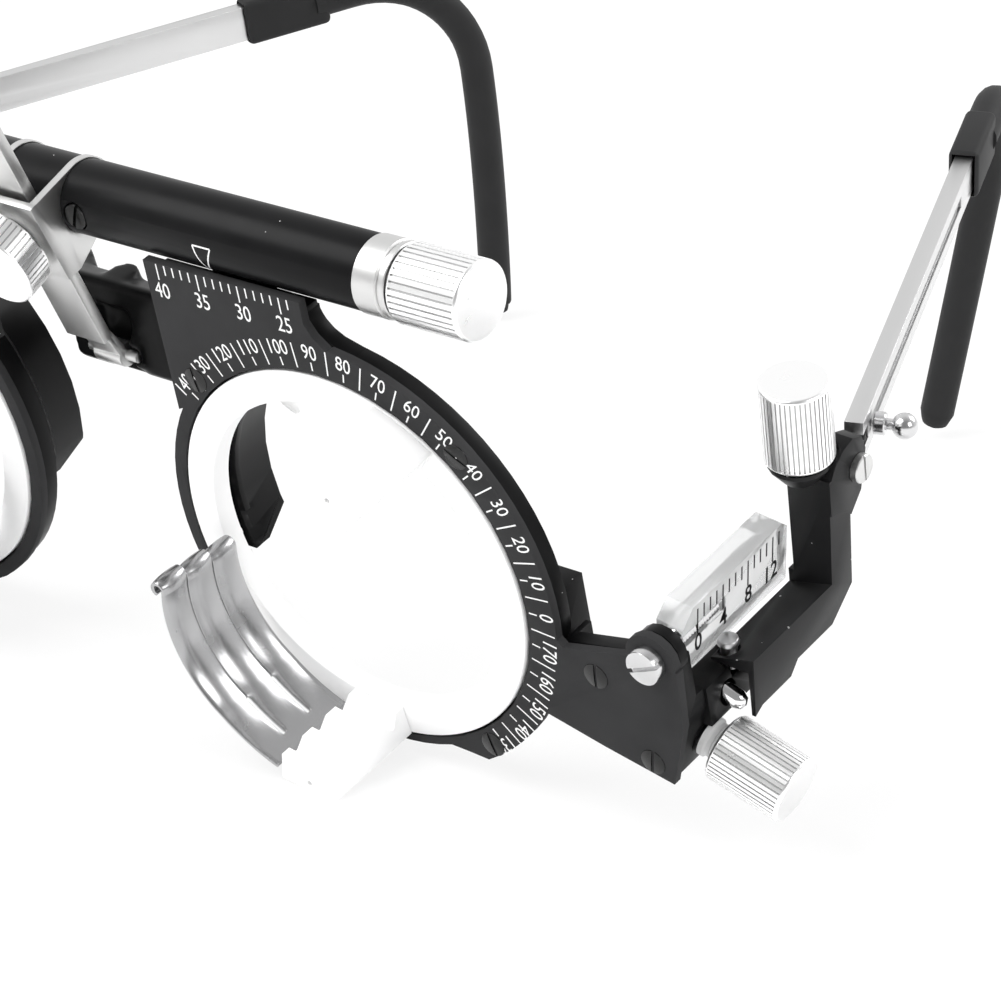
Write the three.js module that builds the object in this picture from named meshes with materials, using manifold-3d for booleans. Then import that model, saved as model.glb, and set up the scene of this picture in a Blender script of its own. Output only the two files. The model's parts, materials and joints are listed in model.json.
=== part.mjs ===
// An optical trial frame: two lens cells that slide on a slotted tube across the brow,
// a nose rest that slides and tilts at its middle, and two adjustable temples.
//
// Units are millimetres. X runs across the face, Y from front to back and Z up. Each cell
// is drawn about the centre of its lens opening, on the front face of its scale plate, for
// the +X side, and the other side is its mirror image. The finished frame leans nose-down
// on its lower lens blocks and the tips of its ear hooks.

import * as THREE from 'three';
import { mergeVertices } from 'three/addons/utils/BufferGeometryUtils.js';
import Module from 'manifold-3d';

const wasm = await Module();
wasm.setup();

// Clearances and overruns
const seatGap = 0.3;
const cutOverrun = 2;
const weldDistance = 1e-4;

// Pose at rest
const restLean = THREE.MathUtils.degToRad(13.4);
const pupilDistance = { right: 33.3, left: 30.3 };
const foldAngle = { right: 21.2, left: 28 };
const tiltAngle = { right: -5.8, left: -5.8 };
const hookRoll = { right: 9.2, left: -3 };

// Place of the tube across the brow
const tubeDepth = 4;
const tubeHeight = 30.6;
const tubeRadius = 3.6;
const tubeRoom = 0.3;
const noseRestDrop = 30.6;

// Scale plate
const plateThickness = 0.9;
const openingRadius = 20.5;
const plateRadius = 23.7;
const plateNasalRadius = 21.9;
const plateLowRadius = 21.3;
const plateBumpRadius = 23.5;
const tabLeft = -19;
const tabRight = 0.1;
const tabDrop = 2.4;
const tabTop = tubeHeight - tabDrop;
const tabSideFoot = 11.5;
const tabFilletWidth = 2.4;
const tabFilletHeight = 2.6;
const tabFilletDrop = 2.3;
const tabFilletTop = tabTop - tabFilletDrop;
const tabFilletFoot = tabFilletTop - tabFilletHeight;
const armTopStart = [24.2, -2.9];
const armTopEnd = [31.5, -1.35];
const armSideTop = [37.2, -1.6];
const armSideLow = [36.85, -8];
const armCorner = [34.7, -15.1];
const armLowMiddle = [27.1, -13.3];
const armLowStart = [20.8, -11.6];
const lugCentre = [34.3, -1.1];
const lugRadius = 2.75;

// Cell housing
const housingFront = plateThickness + seatGap;
const flangeBack = 2.8;
const flangeInset = 0.4;
const drumRadius = 20.6;
const drumBack = 4.5;
const drumChamfer = 0.7;
const backWall = 0.7;
const backOpeningRadius = 17.6;
const slabInset = 0.35;
const slabDrop = 4.2;
const slabTop = tubeHeight - slabDrop;
const slabBack = 2.9;
const armBack = 4.6;
const armUpperBack = 2.8;
const armUpperLow = -4.8;
const armUpperLeft = 24;
const armInset = 0.25;
const bossLength = 1.2;
const endBlockLeft = 32.2;
const endBlockRight = 36.9;
const endBlockBack = 11.2;
const endBlockTop = -6.1;
const endBlockLow = -10.4;
const guardRadius = 19.3;
const guardWall = 0.9;
const guardFrom = 135;
const guardTo = 212;
const guardFar = 9.3;
const guardLowerZ = -4.9;
const guardStepY = 5.9;
const guardStepZ = -6.7;
const guardFootZ = -9;
const guardTopZ = 13.2;

// Lens ring and what it carries
const ringInnerRadius = 16.9;
const ringFlangeRadius = openingRadius - seatGap;
const ringFront = -0.2;
const ringFlangeBack = 1;
const ringDrumRadius = 19.6;
const ringInnerBack = 2;
const crownRoot = 2.95;
const crownTip = 3.45;
const crownInnerRadius = 18.2;
const crownTeeth = 48;
const crownToothWidth = 0.5;
const blockInnerRadius = 17.1;
const blockOuterRadius = 20.2;
const blockReach = 11.4;
const blockHalfAngle = 10;
const lowerBlockAngle = -92;
const upperBlockAngle = 60;
const grooveCount = 3;
const groovePitch = 3.5;
const grooveDepth = 1.3;
const grooveFirst = 2.3;
const grooveHalfWidth = 1;
const springRootAngle = -103.5;
const springWaistAngle = -126;
const springTipAngle = -175.5;
const springRootRadius = 19;
const springWaistRadius = 17.9;
const springTipRadius = 14.6;
const springThickness = 0.4;
const fingerCount = 3;
const fingerWidth = 3.2;
const fingerPitch = 3.7;
const springFront = 11.5;
const springRootShare = 0.31;
const springOverlapShare = 0.07;
const fingerStagger = 0.035;
const springSteps = 13;
const springCurlRadius = 0.75;

// Axis drive
const axisDriveAngle = -19.4;
const axisDriveDepth = 4.85;
const pinionTeeth = 4;
const pinionRootRadius = 1.1;
const pinionTipRadius = 1.85;
const pinionRootHalf = 11;
const pinionTipHalf = 6;
const shaftRadius = 0.8;
const shaftStart = 17.9;
const tunnelRadius = 2.15;
const armEndRadius = 37.4;
const knobCollarRadius = 2;
const gearBoxHalf = 3.4;
const gearBoxInner = 17.6;
const gearBoxOuter = 21.2;
const gearBoxBack = 7.6;
const gearBoxTop = -0.4;
const gearBoxLow = -9.9;
const gearBoxWall = 0.7;
const axisKnobStart = 39.5;
const detentRadius = 0.95;
const detentPoint = [36.2, 6.9, -8.2];
const detentTurn = -24.6;
const detentLength = 2.9;
const detentShank = 1.6;

// Knurled knobs
const knobRadius = 3.35;
const knobLength = 8;
const knobFlutes = 26;
const fluteDepth = 0.22;
const knobBevel = 0.35;
const knobBore = 1.5;
const knobBoreDepth = 5;

// Tube across the brow
const tubeWall = 0.7;
const tubeHalfLength = 39.9;
const slotHalfWidth = 1.1;
const slotInner = 11.2;
const slotOuter = 36.4;
const plugHalfLength = 8.5;
const plugBearing = 4;
const tubeScrewPlace = 6;
const tubeScrewRadius = 1.3;
const tubeScrewDepth = 1.5;
const collarRadius = 3.72;
const collarLength = 3.7;
const collarLip = 0.9;
const pdKnobRadius = 3.8;
const leadScrewRadius = 1.2;
const carriageFrom = -13.5;
const carriageTo = -5.5;
const carriageRadius = 2.5;
const carriageHalfNeck = 0.8;
const carriageFoot = 21.4;

// Bridge bracket, nose bar and clamp knob
const bracketHalfWidth = 4.3;
const bracketSheet = 0.8;
const bracketCrown = 4.25;
const bracketFrontRise = 2.4;
const bracketFrontDrop = 6.7;
const bracketBackDrop = 6.4;
const bracketFrontTop = [-3.2, tubeHeight + bracketFrontRise];
const bracketFrontLow = [-0.7, tubeHeight - bracketFrontDrop];
const bracketBackLow = [1.1, tubeHeight - bracketBackDrop];
const barWidth = 5.1;
const barThickness = 1.25;
const barLean = 14.4;
const barFoot = [3.1, 13.9];
const barLength = 33;
const clampDrop = 2.1;
const clampHeight = tubeHeight - clampDrop;
const clampRadius = 4.7;
const clampThickness = 3.3;
const clampStandOff = 1;
const clampStud = 1.1;
const clampFlutes = 34;

// Nose saddle and pads
const tonguePinPlace = [6.4, 10.6];
const tongueWidth = 3.6;
const tongueThickness = 0.9;
const tongueEye = 1.3;
const barPinRadius = 0.6;
const barPinLength = 6.4;
const saddleHalfWidth = 6.5;
const saddleFront = 7.1;
const saddleBack = 10.9;
const saddleTop = 18.1;
const saddleTopBack = 16.6;
const saddleLow = 7.1;
const saddleChamfer = 1.1;
const yokeHalfWidth = 3.6;
const yokeFront = 6.1;
const yokeTop = 13.2;
const yokeLow = 8.4;
const yokeSlotHalf = 2.15;
const postPlace = 9.7;
const postTop = 17.9;
const postWidth = 1.7;
const wingFrontInner = 9.8;
const wingReach = 10.6;
const wingFront = 12.4;
const wingBack = 14.2;
const wingThickness = 1.8;
const wingTopOuter = 15.8;
const wingLowOuter = 8.4;
const padLength = 13;
const padWidth = 5.2;
const padThickness = 2.4;
const padPlace = [9.9, 17.1, 5.4];
const padToe = 28;
const padSplay = 18;

// Clear vertex scale and its screw
const scaleBarLean = 9.4;
const scaleBarLeft = 31.8;
const scaleBarWidth = 2.9;
const scaleBarFront = 3.6;
const scaleBarLength = 16.6;
const scaleBarLow = -5.2;
const scaleBarTop = 1.9;
const scaleBarChamfer = 1.6;
const screwHeadRadius = 2;
const screwHeadThickness = 1.3;
const screwShankRadius = 1;
const screwReach = 10;
const screwSlotWidth = 0.5;
const screwSlotDepth = 0.5;

// Temple bracket, drawn upright and then leaned outwards
const bracketLean = 3.8;
const bracketPivot = [38.6, -6];
const legLeft = 35.8;
const legRight = 40.5;
const footRight = 41;
const legFront = 20;
const legBack = 23.3;
const legTop = 7.6;
const footLeft = 35.2;
const footFront = 7.2;
const footTop = -4;
const footTopSlope = 15.5;
const footLow = -10.7;
const footStep = 13;
const footStepRun = 1.2;
const footRise = -8.8;
const heelStart = 19.9;
const heelTop = -6.1;
const pocketRight = 39.3;
const pocketBack = 11.9;
const bracketScrewPlace = [36.3, 8.6];
const bracketScrewHead = 1.1;
const bracketScrewShank = 0.8;
const bracketScrewDepth = 1.2;

// Tilt hinge at the top of the bracket
const outerLugLeft = 38.5;
const innerLugLeft = 35;
const innerLugRight = 36.5;
const innerLugRise = 1.4;
const lugFrontRise = [21.1, 8.7];
const lugShoulder = [22.5, 9.65];
const lugCrown = [24.1, 10];
const lugBackTop = [25.5, 9.4];
const lugBack = [26, 7.8];
const lugHeel = [24.9, 3.8];
const lugFoot = [23.1, 2.1];
const pinPlace = [24.6, 6.5];
const pinRadius = 0.7;
const pinHeadRadius = 1.4;
const pinHeadThickness = 0.8;
const linkEye = 1.9;
const linkToe = [21.6, 4.4];
const linkToeTop = 5.7;
const linkSweep = 4;
const linkSweepTop = 7;
const bladeThickness = 0.9;
const bladeEye = 0.9;
const postRadius = 0.4;
const postHalf = 1.3;
const foldPlace = [28.9, 6.7];
const tiltKnobPlace = [37.2, 20.3];
const tiltKnobHeight = 8.3;
const tiltKnobLow = 9.35;
const tiltBossRadius = 3;
const tiltBossFoot = 1.7;
const tiltBossRim = 0.4;
const tiltBossTaper = 1.7;
const tiltStem = 0.8;
const tiltStemLow = 7.9;

// Temple
const barStart = -1.1;
const channelWidth = 1.8;
const channelHeight = 4;
const channelWall = 0.3;
const channelLength = 60;
const sideSlotFrom = 2.8;
const sideSlotTo = 48;
const sideSlotHeight = 1.3;
const eyeBlockLength = 2;
const bladeSlotLength = 2;
const coreStart = 1.2;
const coreWidth = 0.7;
const coreHeight = 2.8;
const coreEnd = 62;
const clampSetBack = 1.3;
const ballRadius = 1.25;
const ballCollarRadius = 1.1;
const ballCollarLength = 1.1;
const ballNeckRadius = 0.55;
const ballNeckLength = 0.6;
const clampShankRadius = 0.35;
const sleeveFrom = 52.3;
const sleeveHeight = 5.2;
const sleeveWidth = 3.2;
const hookThickness = 4;
const hookWidth = 3.9;
const bendStart = 66;
const bendRadius = 14;
const hookDrop = 31;
const hookToe = 1.8;
const hookSteps = 18;

const circleSides = 40;
const tubeSides = 30;
const smallSides = 16;
const FRONT = new THREE.Vector3(0, -1, 0);
const ACROSS = new THREE.Vector3(1, 0, 0);
const UP = new THREE.Vector3(0, 0, 1);
const radians = THREE.MathUtils.degToRad;

const finishes = {
  blackPlastic: { color: 0x161616, roughness: 0.5, metalness: 0 },
  plate: { color: 0x2b2b2b, roughness: 0.55, metalness: 0.1 },
  anodised: { color: 0x1b1b1b, roughness: 0.35, metalness: 0.4 },
  white: { color: 0xf2f2f0, roughness: 0.45, metalness: 0 },
  chrome: { color: 0xd9dadb, roughness: 0.1, metalness: 1 },
  nickel: { color: 0xc9c7c1, roughness: 0.25, metalness: 1 },
  steel: { color: 0xb9babb, roughness: 0.35, metalness: 1 },
  clear: { color: 0xe9eef0, roughness: 0.05, metalness: 0, transparent: true, opacity: 0.4 },
  silicone: { color: 0xdedede, roughness: 0.6, metalness: 0 },
};

// Solids

/** Makes a solid of a closed geometry, whichever way its faces point. */
function solid(geometry) {
  const loose = geometry.index ? geometry.toNonIndexed() : geometry.clone();
  loose.deleteAttribute('normal');
  loose.deleteAttribute('uv');
  const welded = mergeVertices(loose, weldDistance);
  const corners = welded.index.array;
  const faces = [];
  for (let i = 0; i < corners.length; i += 3) {
    const [a, b, c] = corners.slice(i, i + 3);
    if (a !== b && b !== c && c !== a) faces.push(a, b, c);
  }
  const points = welded.attributes.position.array;
  if (signedVolume(points, faces) < 0) faces.reverse();
  return new wasm.Manifold(
    new wasm.Mesh({
      numProp: 3,
      vertProperties: new Float32Array(points),
      triVerts: new Uint32Array(faces),
    }),
  );
}

/** Six times the signed volume inside a list of triangles. */
function signedVolume(points, faces) {
  const corner = (i) => new THREE.Vector3().fromArray(points, 3 * i);
  let total = 0;
  for (let i = 0; i < faces.length; i += 3) {
    const [a, b, c] = [faces[i], faces[i + 1], faces[i + 2]].map(corner);
    total += a.dot(b.cross(c));
  }
  return total;
}

function join(first, ...rest) {
  return rest.reduce((sum, next) => sum.add(next), first);
}

function cut(first, ...rest) {
  return rest.reduce((left, next) => left.subtract(next), first);
}

/** Turns a solid back into a geometry, mirrored across X for the -X side. */
function geometryOf(body, mirrored = false) {
  const mesh = body.getMesh();
  const points = new Float32Array(mesh.vertProperties);
  const faces = new Uint32Array(mesh.triVerts);
  if (mirrored) {
    for (let i = 0; i < points.length; i += 3) points[i] = -points[i];
    faces.reverse();
  }
  const geometry = new THREE.BufferGeometry();
  geometry.setAttribute('position', new THREE.BufferAttribute(points, 3));
  geometry.setIndex(new THREE.BufferAttribute(faces, 1));
  geometry.computeVertexNormals();
  return geometry;
}

function box(low, high) {
  const size = high.map((value, i) => value - low[i]);
  const middle = high.map((value, i) => (value + low[i]) / 2);
  return solid(new THREE.BoxGeometry(...size).translate(...middle));
}

/** A round bar from one point along a direction. */
function rod(start, direction, length, radius, sides = smallSides) {
  return turned(start, direction, [[0, 0], [radius, 0], [radius, length], [0, length]], sides);
}

/** A turned solid: its profile lists radius and distance along the axis. */
function turned(start, direction, profile, sides = smallSides) {
  const points = profile.map(([radius, along]) => new THREE.Vector2(radius, along));
  const geometry = new THREE.LatheGeometry(points, sides);
  const turn = new THREE.Quaternion().setFromUnitVectors(new THREE.Vector3(0, 1, 0), direction);
  geometry.applyQuaternion(turn);
  geometry.translate(...start);
  return solid(geometry);
}

function shapeOf(points) {
  return new THREE.Shape(points.map(([x, y]) => new THREE.Vector2(x, y)));
}

/** A flat piece whose outline is given in X and Z, from one depth to another. */
function facing(points, front, back, bevel = 0) {
  const geometry = new THREE.ExtrudeGeometry(shapeOf(points), {
    depth: back - front - 2 * bevel,
    bevelEnabled: bevel > 0,
    bevelThickness: bevel,
    bevelSize: bevel,
    bevelOffset: -bevel,
    bevelSegments: 1,
  });
  geometry.rotateX(Math.PI / 2);
  geometry.translate(0, back - bevel, 0);
  return solid(geometry);
}

/** A flat piece whose outline is given in Y and Z, from one X to another. */
function sideways(points, low, high) {
  const geometry = new THREE.ExtrudeGeometry(shapeOf(points), {
    depth: high - low,
    bevelEnabled: false,
  });
  geometry.applyMatrix4(new THREE.Matrix4().makeBasis(
    new THREE.Vector3(0, 1, 0), new THREE.Vector3(0, 0, 1), new THREE.Vector3(1, 0, 0),
  ));
  geometry.translate(low, 0, 0);
  return solid(geometry);
}

/** Points on an arc, in degrees. */
function arc(centre, radius, from, to, steps) {
  const points = [];
  for (let i = 0; i <= steps; i += 1) {
    const angle = radians(from + ((to - from) * i) / steps);
    points.push([centre[0] + radius * Math.cos(angle), centre[1] + radius * Math.sin(angle)]);
  }
  return points;
}

function disc(radius, front, back, sides = circleSides, centre = [0, 0]) {
  return facing(arc(centre, radius, 0, 360, sides).slice(0, -1), front, back);
}

/** A slice of a ring about the lens axis, between two angles. */
function sector(inner, outer, from, to, front, back, steps = 8) {
  const outline = [
    ...arc([0, 0], outer, from, to, steps),
    ...arc([0, 0], inner, to, from, steps),
  ];
  return facing(outline, front, back);
}

/** The outer hull of a set of points, in order. */
function hull(points) {
  const sorted = [...points].sort((a, b) => a[0] - b[0] || a[1] - b[1]);
  const turnOf = (o, a, b) => (a[0] - o[0]) * (b[1] - o[1]) - (a[1] - o[1]) * (b[0] - o[0]);
  const half = (list) => {
    const chain = [];
    for (const point of list) {
      while (chain.length > 1 && turnOf(chain.at(-2), chain.at(-1), point) <= 0) chain.pop();
      chain.push(point);
    }
    return chain.slice(0, -1);
  };
  return [...half(sorted), ...half(sorted.reverse())];
}

/** A knurled knob: a fluted bar from a point along a direction. */
function knob(start, direction, length, radius, flutes) {
  const outline = [];
  for (let i = 0; i < 2 * flutes; i += 1) {
    const angle = (Math.PI * i) / flutes;
    const reach = i % 2 ? radius - fluteDepth : radius;
    outline.push(new THREE.Vector2(reach * Math.cos(angle), reach * Math.sin(angle)));
  }
  const geometry = new THREE.ExtrudeGeometry(new THREE.Shape(outline), {
    depth: length, bevelEnabled: false,
  });
  geometry.applyQuaternion(new THREE.Quaternion().setFromUnitVectors(UP, direction));
  geometry.translate(...start);
  return solid(geometry);
}

/** Moves a solid by turning it about a point. Angles are in degrees. */
function turnAbout(body, axis, degrees, centre) {
  const matrix = new THREE.Matrix4().makeTranslation(...centre)
    .multiply(new THREE.Matrix4().makeRotationAxis(axis, radians(degrees)))
    .multiply(new THREE.Matrix4().makeTranslation(...centre.map((value) => -value)));
  return body.transform(matrix.elements);
}

// Scale plate

/** The plate's outer radius at an angle between the arm and the tab, the low way round. */
function rimRadius(angle) {
  const stops = [
    [-29, plateRadius], [-44, plateBumpRadius], [-59, plateBumpRadius], [-68, plateLowRadius],
    [-100, plateLowRadius], [-125, plateNasalRadius], [-215, plateNasalRadius],
  ];
  const next = stops.findIndex(([stop]) => stop <= angle);
  if (next <= 0) return plateRadius;
  const [fromAngle, fromRadius] = stops[next - 1];
  const [toAngle, toRadius] = stops[next];
  const share = THREE.MathUtils.smoothstep(fromAngle - angle, 0, fromAngle - toAngle);
  return fromRadius + (toRadius - fromRadius) * share;
}

/** The plate's outline without its tab and arm, drawn in by a distance. */
function rimOutline(inset) {
  const points = arc([0, 0], plateRadius - inset, 84, -6, 18);
  for (let angle = -29; angle >= -214; angle -= 5) {
    points.push(...arc([0, 0], rimRadius(angle) - inset, angle, angle, 1).slice(1));
  }
  return points;
}

const tabFilletMiddle = [
  tabRight + (tabFilletWidth - tabRight) / 3, (tabFilletTop + tabFilletFoot) / 2,
];

const tabOutlines = [
  [[tabLeft, tabSideFoot], [tabLeft, tabTop], [tabRight, tabTop], [tabRight, tabFilletTop], [0, openingRadius]],
  [[tabRight, tabFilletTop], tabFilletMiddle, [0, openingRadius]],
  [tabFilletMiddle, [tabFilletWidth, tabFilletFoot], [0, openingRadius]],
];

const armOutline = [
  armTopStart, armTopEnd, armSideTop, armSideLow, armCorner, armLowMiddle, armLowStart,
  [openingRadius + plateThickness, 0],
];

/** The room that a cell leaves under the tube. */
function tubeRelief() {
  return rod([-plateRadius, tubeDepth, tubeHeight], ACROSS, 2 * plateRadius, tubeRadius + tubeRoom, tubeSides);
}

function scalePlate() {
  const lug = disc(lugRadius, 0, plateThickness, smallSides, lugCentre);
  const blank = join(
    facing(rimOutline(0), 0, plateThickness),
    ...tabOutlines.map((outline) => facing(outline, 0, plateThickness)),
    facing(armOutline, 0, plateThickness),
    lug,
  );
  const screwHole = disc(
    screwShankRadius + seatGap, -cutOverrun, plateThickness + cutOverrun, smallSides, lugCentre,
  );
  return cut(
    blank,
    disc(openingRadius, -cutOverrun, plateThickness + cutOverrun),
    screwHole,
    tubeRelief(),
  );
}

// Cell housing

const driveDirection = new THREE.Vector3(
  Math.cos(radians(axisDriveAngle)), 0, Math.sin(radians(axisDriveAngle)),
);

/** A point on the axis drive's centre line, at a distance from the lens axis. */
function onDrive(distance) {
  return [distance * driveDirection.x, axisDriveDepth, distance * driveDirection.z];
}

/** A box whose length lies along the axis drive. */
function driveBox(low, high) {
  const middle = [0, 0, 0];
  return turnAbout(box(low, high), new THREE.Vector3(0, 1, 0), -axisDriveAngle, middle);
}

function nasalGuard() {
  const wall = sector(
    guardRadius - guardWall, guardRadius, guardFrom, guardTo, drumBack - backWall, guardFar,
  );
  const profile = [
    [housingFront, guardTopZ], [guardFar - guardWall, guardTopZ], [guardFar, guardTopZ - guardWall],
    [guardFar, guardLowerZ], [guardStepY, guardStepZ], [drumBack, guardFootZ],
    [housingFront, guardFootZ],
  ];
  return wall.intersect(sideways(profile, -plateRadius, 0));
}

function cellHousing() {
  const flange = facing(rimOutline(flangeInset), housingFront, flangeBack);
  const drum = turned([0, flangeBack - backWall, 0], FRONT.clone().negate(), [
    [0, 0], [drumRadius, 0], [drumRadius, drumBack - drumChamfer - flangeBack + backWall],
    [drumRadius - drumChamfer, drumBack - flangeBack + backWall],
    [0, drumBack - flangeBack + backWall],
  ], circleSides);
  const slab = facing([
    [tabLeft + slabInset, tabSideFoot], [tabLeft + slabInset, slabTop],
    [tabRight - slabInset, slabTop], [tabRight - slabInset, tabFilletTop],
    [tabFilletWidth - slabInset, openingRadius],
  ], housingFront, slabBack);
  const arm = facing([
    [armTopStart[0] - plateThickness, armTopStart[1] - armInset],
    [armTopEnd[0], armTopEnd[1] - armInset],
    [armSideLow[0] - armInset, lugCentre[1]],
    [armSideLow[0] - armInset, armSideLow[1]],
    [armCorner[0] - armInset, armCorner[1] + armInset],
    [armLowMiddle[0], armLowMiddle[1] + armInset],
    [armLowStart[0] - plateThickness, armLowStart[1] + armInset],
  ], housingFront, armBack);
  const boss = disc(lugRadius - armInset, housingFront, housingFront + bossLength, smallSides, lugCentre);
  const tunnel = rod(onDrive(drumRadius - backWall), driveDirection,
    armEndRadius - drumRadius + backWall, tunnelRadius);
  const endBlock = box(
    [endBlockLeft, armBack - backWall, endBlockLow],
    [endBlockRight, endBlockBack, endBlockTop],
  );
  const gearBox = box(
    [gearBoxInner, drumBack - backWall, gearBoxLow], [gearBoxOuter, gearBoxBack, gearBoxTop],
  );
  const body = join(flange, drum, slab, arm, boss, tunnel, endBlock, gearBox, nasalGuard());
  const cavity = disc(ringDrumRadius + seatGap, -cutOverrun, drumBack - backWall);
  const flangeRoom = disc(openingRadius, -cutOverrun, ringFlangeBack + seatGap);
  const window = disc(backOpeningRadius, -cutOverrun, drumBack + cutOverrun);
  const gearCavity = driveBox(
    [gearBoxInner - cutOverrun, crownRoot, -gearBoxHalf + gearBoxWall],
    [gearBoxInner + knobCollarRadius + seatGap, gearBoxBack - gearBoxWall, gearBoxHalf - gearBoxWall],
  );
  const shaftBore = rod(onDrive(shaftStart), driveDirection, armEndRadius, shaftRadius + seatGap);
  const screwBore = disc(
    screwShankRadius + seatGap, 0, endBlockBack, smallSides, lugCentre,
  );
  const bracketBore = rod(
    [bracketScrewPlace[0], bracketScrewPlace[1], endBlockTop - bracketScrewDepth], UP,
    bracketScrewDepth + cutOverrun, bracketScrewShank + seatGap,
  );
  const detentBore = rod(
    detentSeat(-detentShank - seatGap), detentDirection, detentShank + detentLength,
    detentRadius + seatGap,
  );
  const barRoom = box(
    [scaleBarLeft - cutOverrun, armUpperBack, endBlockTop], [endBlockRight, endBlockBack, lugRadius],
  ).add(box([armUpperLeft, armUpperBack, armUpperLow], [endBlockRight, endBlockBack, lugRadius]));
  return cut(
    body, cavity, flangeRoom, window, gearCavity, shaftBore, screwBore, bracketBore, detentBore, barRoom,
    tubeRelief(),
  );
}

const detentDirection = new THREE.Vector3(
  Math.cos(radians(detentTurn)), 0, Math.sin(radians(detentTurn)),
);

/** A point on the detent pin's axis, measured from the face that it stands out of. */
function detentSeat(along) {
  return detentPoint.map((value, i) => value + along * detentDirection.getComponent(i));
}

function detentPin() {
  const nose = detentLength - detentRadius;
  return turned(detentSeat(-detentShank), detentDirection, [
    [0, 0], [detentRadius, 0], [detentRadius, detentShank + nose],
    [detentRadius * Math.SQRT1_2, detentShank + nose + detentRadius * Math.SQRT1_2],
    [0, detentShank + detentLength],
  ]);
}

// Lens ring and lens seats

function lensRing() {
  const flange = disc(ringFlangeRadius, ringFront, ringFlangeBack);
  const drum = disc(ringDrumRadius, ringFlangeBack - backWall, crownRoot);
  const bore = disc(ringInnerRadius, -cutOverrun, crownTip + cutOverrun);
  const relief = disc(crownInnerRadius, ringInnerBack, crownTip + cutOverrun);
  let ring = cut(join(flange, drum), bore, relief);
  for (let i = 0; i < crownTeeth; i += 1) {
    const tooth = box(
      [crownInnerRadius, crownRoot - backWall, -crownToothWidth / 2],
      [ringDrumRadius, crownTip, crownToothWidth / 2],
    );
    const angle = (360 * (i + 1 / 2)) / crownTeeth - axisDriveAngle;
    ring = ring.add(turnAbout(tooth, new THREE.Vector3(0, 1, 0), angle, [0, 0, 0]));
  }
  return ring;
}

/** A seat for three lenses that stands forward of the ring, with a groove for each. */
function lensBlock(middle) {
  const back = ringFront - seatGap;
  const body = sector(
    blockInnerRadius, blockOuterRadius, middle - blockHalfAngle, middle + blockHalfAngle,
    -blockReach, back, 4,
  );
  const grooves = [];
  for (let i = 0; i < grooveCount; i += 1) {
    const depth = -grooveFirst - i * groovePitch;
    const profile = [
      [blockInnerRadius - cutOverrun, depth - grooveHalfWidth],
      [blockInnerRadius, depth - grooveHalfWidth], [blockInnerRadius + grooveDepth, depth],
      [blockInnerRadius, depth + grooveHalfWidth],
      [blockInnerRadius - cutOverrun, depth + grooveHalfWidth],
    ];
    grooves.push(turned([0, 0, 0], new THREE.Vector3(0, 1, 0),
      [...profile, profile[0]], circleSides));
  }
  return cut(body, ...grooves);
}

/** Distance from the lens axis to the middle of the spring's strip, along its length. */
function springRadius(share) {
  const bend = (springRootAngle - springWaistAngle) / (springRootAngle - springTipAngle);
  if (share < bend) {
    return THREE.MathUtils.lerp(springRootRadius, springWaistRadius, share / bend);
  }
  const rest = (share - bend) / (1 - bend);
  return THREE.MathUtils.lerp(springWaistRadius, springTipRadius, rest ** 1.4);
}

function springPoint(share, offset) {
  const angle = radians(THREE.MathUtils.lerp(springRootAngle, springTipAngle, share));
  const radius = springRadius(share) + offset;
  return [radius * Math.cos(angle), radius * Math.sin(angle)];
}

function springStrip(from, to, front, back) {
  const outer = [];
  const inner = [];
  const steps = Math.ceil((to - from) * springSteps);
  for (let i = 0; i <= steps; i += 1) {
    const along = THREE.MathUtils.lerp(from, to, i / steps);
    outer.push(springPoint(along, springThickness / 2));
    inner.unshift(springPoint(along, -springThickness / 2));
  }
  return facing([...outer, ...inner], front, back);
}

function lensSpring() {
  const back = springFront - fingerPitch * (fingerCount - 1) - fingerWidth;
  let spring = springStrip(0, springRootShare, -springFront, -back);
  for (let i = 0; i < fingerCount; i += 1) {
    const front = -springFront + i * fingerPitch;
    const end = 1 - i * fingerStagger;
    const tip = springPoint(end, springCurlRadius);
    spring = join(
      spring,
      springStrip(springRootShare - springOverlapShare, end, front, front + fingerWidth),
      disc(springCurlRadius + springThickness / 2, front, front + fingerWidth, 8, tip),
    );
  }
  return spring;
}

// Axis drive

function axisShaft() {
  let shaft = join(
    rod(onDrive(shaftStart), driveDirection, axisKnobStart + knobBoreDepth - shaftStart - seatGap,
      shaftRadius),
    rod(onDrive(crownInnerRadius), driveDirection, ringDrumRadius - crownInnerRadius,
      pinionRootRadius),
  );
  const toothOutline = [-pinionRootHalf, -pinionTipHalf, pinionTipHalf, pinionRootHalf].map((turn, i) => {
    const radius = i % 3 ? pinionTipRadius : pinionRootRadius - fluteDepth;
    return [radius * Math.sin(radians(turn)), radius * Math.cos(radians(turn))];
  });
  for (let i = 0; i < pinionTeeth; i += 1) {
    const turn = (2 * Math.PI * i) / pinionTeeth + Math.PI;
    const points = toothOutline.map(([x, y]) => new THREE.Vector2(
      x * Math.cos(turn) - y * Math.sin(turn), x * Math.sin(turn) + y * Math.cos(turn),
    ));
    const tooth = new THREE.ExtrudeGeometry(new THREE.Shape(points), {
      depth: ringDrumRadius - crownInnerRadius, bevelEnabled: false,
    });
    tooth.applyMatrix4(new THREE.Matrix4().makeBasis(
      new THREE.Vector3(0, 0, 1), new THREE.Vector3(0, 1, 0), new THREE.Vector3(-1, 0, 0),
    ));
    tooth.translate(ringDrumRadius, 0, 0);
    tooth.rotateY(radians(-axisDriveAngle));
    tooth.translate(0, axisDriveDepth, 0);
    shaft = shaft.add(solid(tooth));
  }
  return shaft;
}

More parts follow.
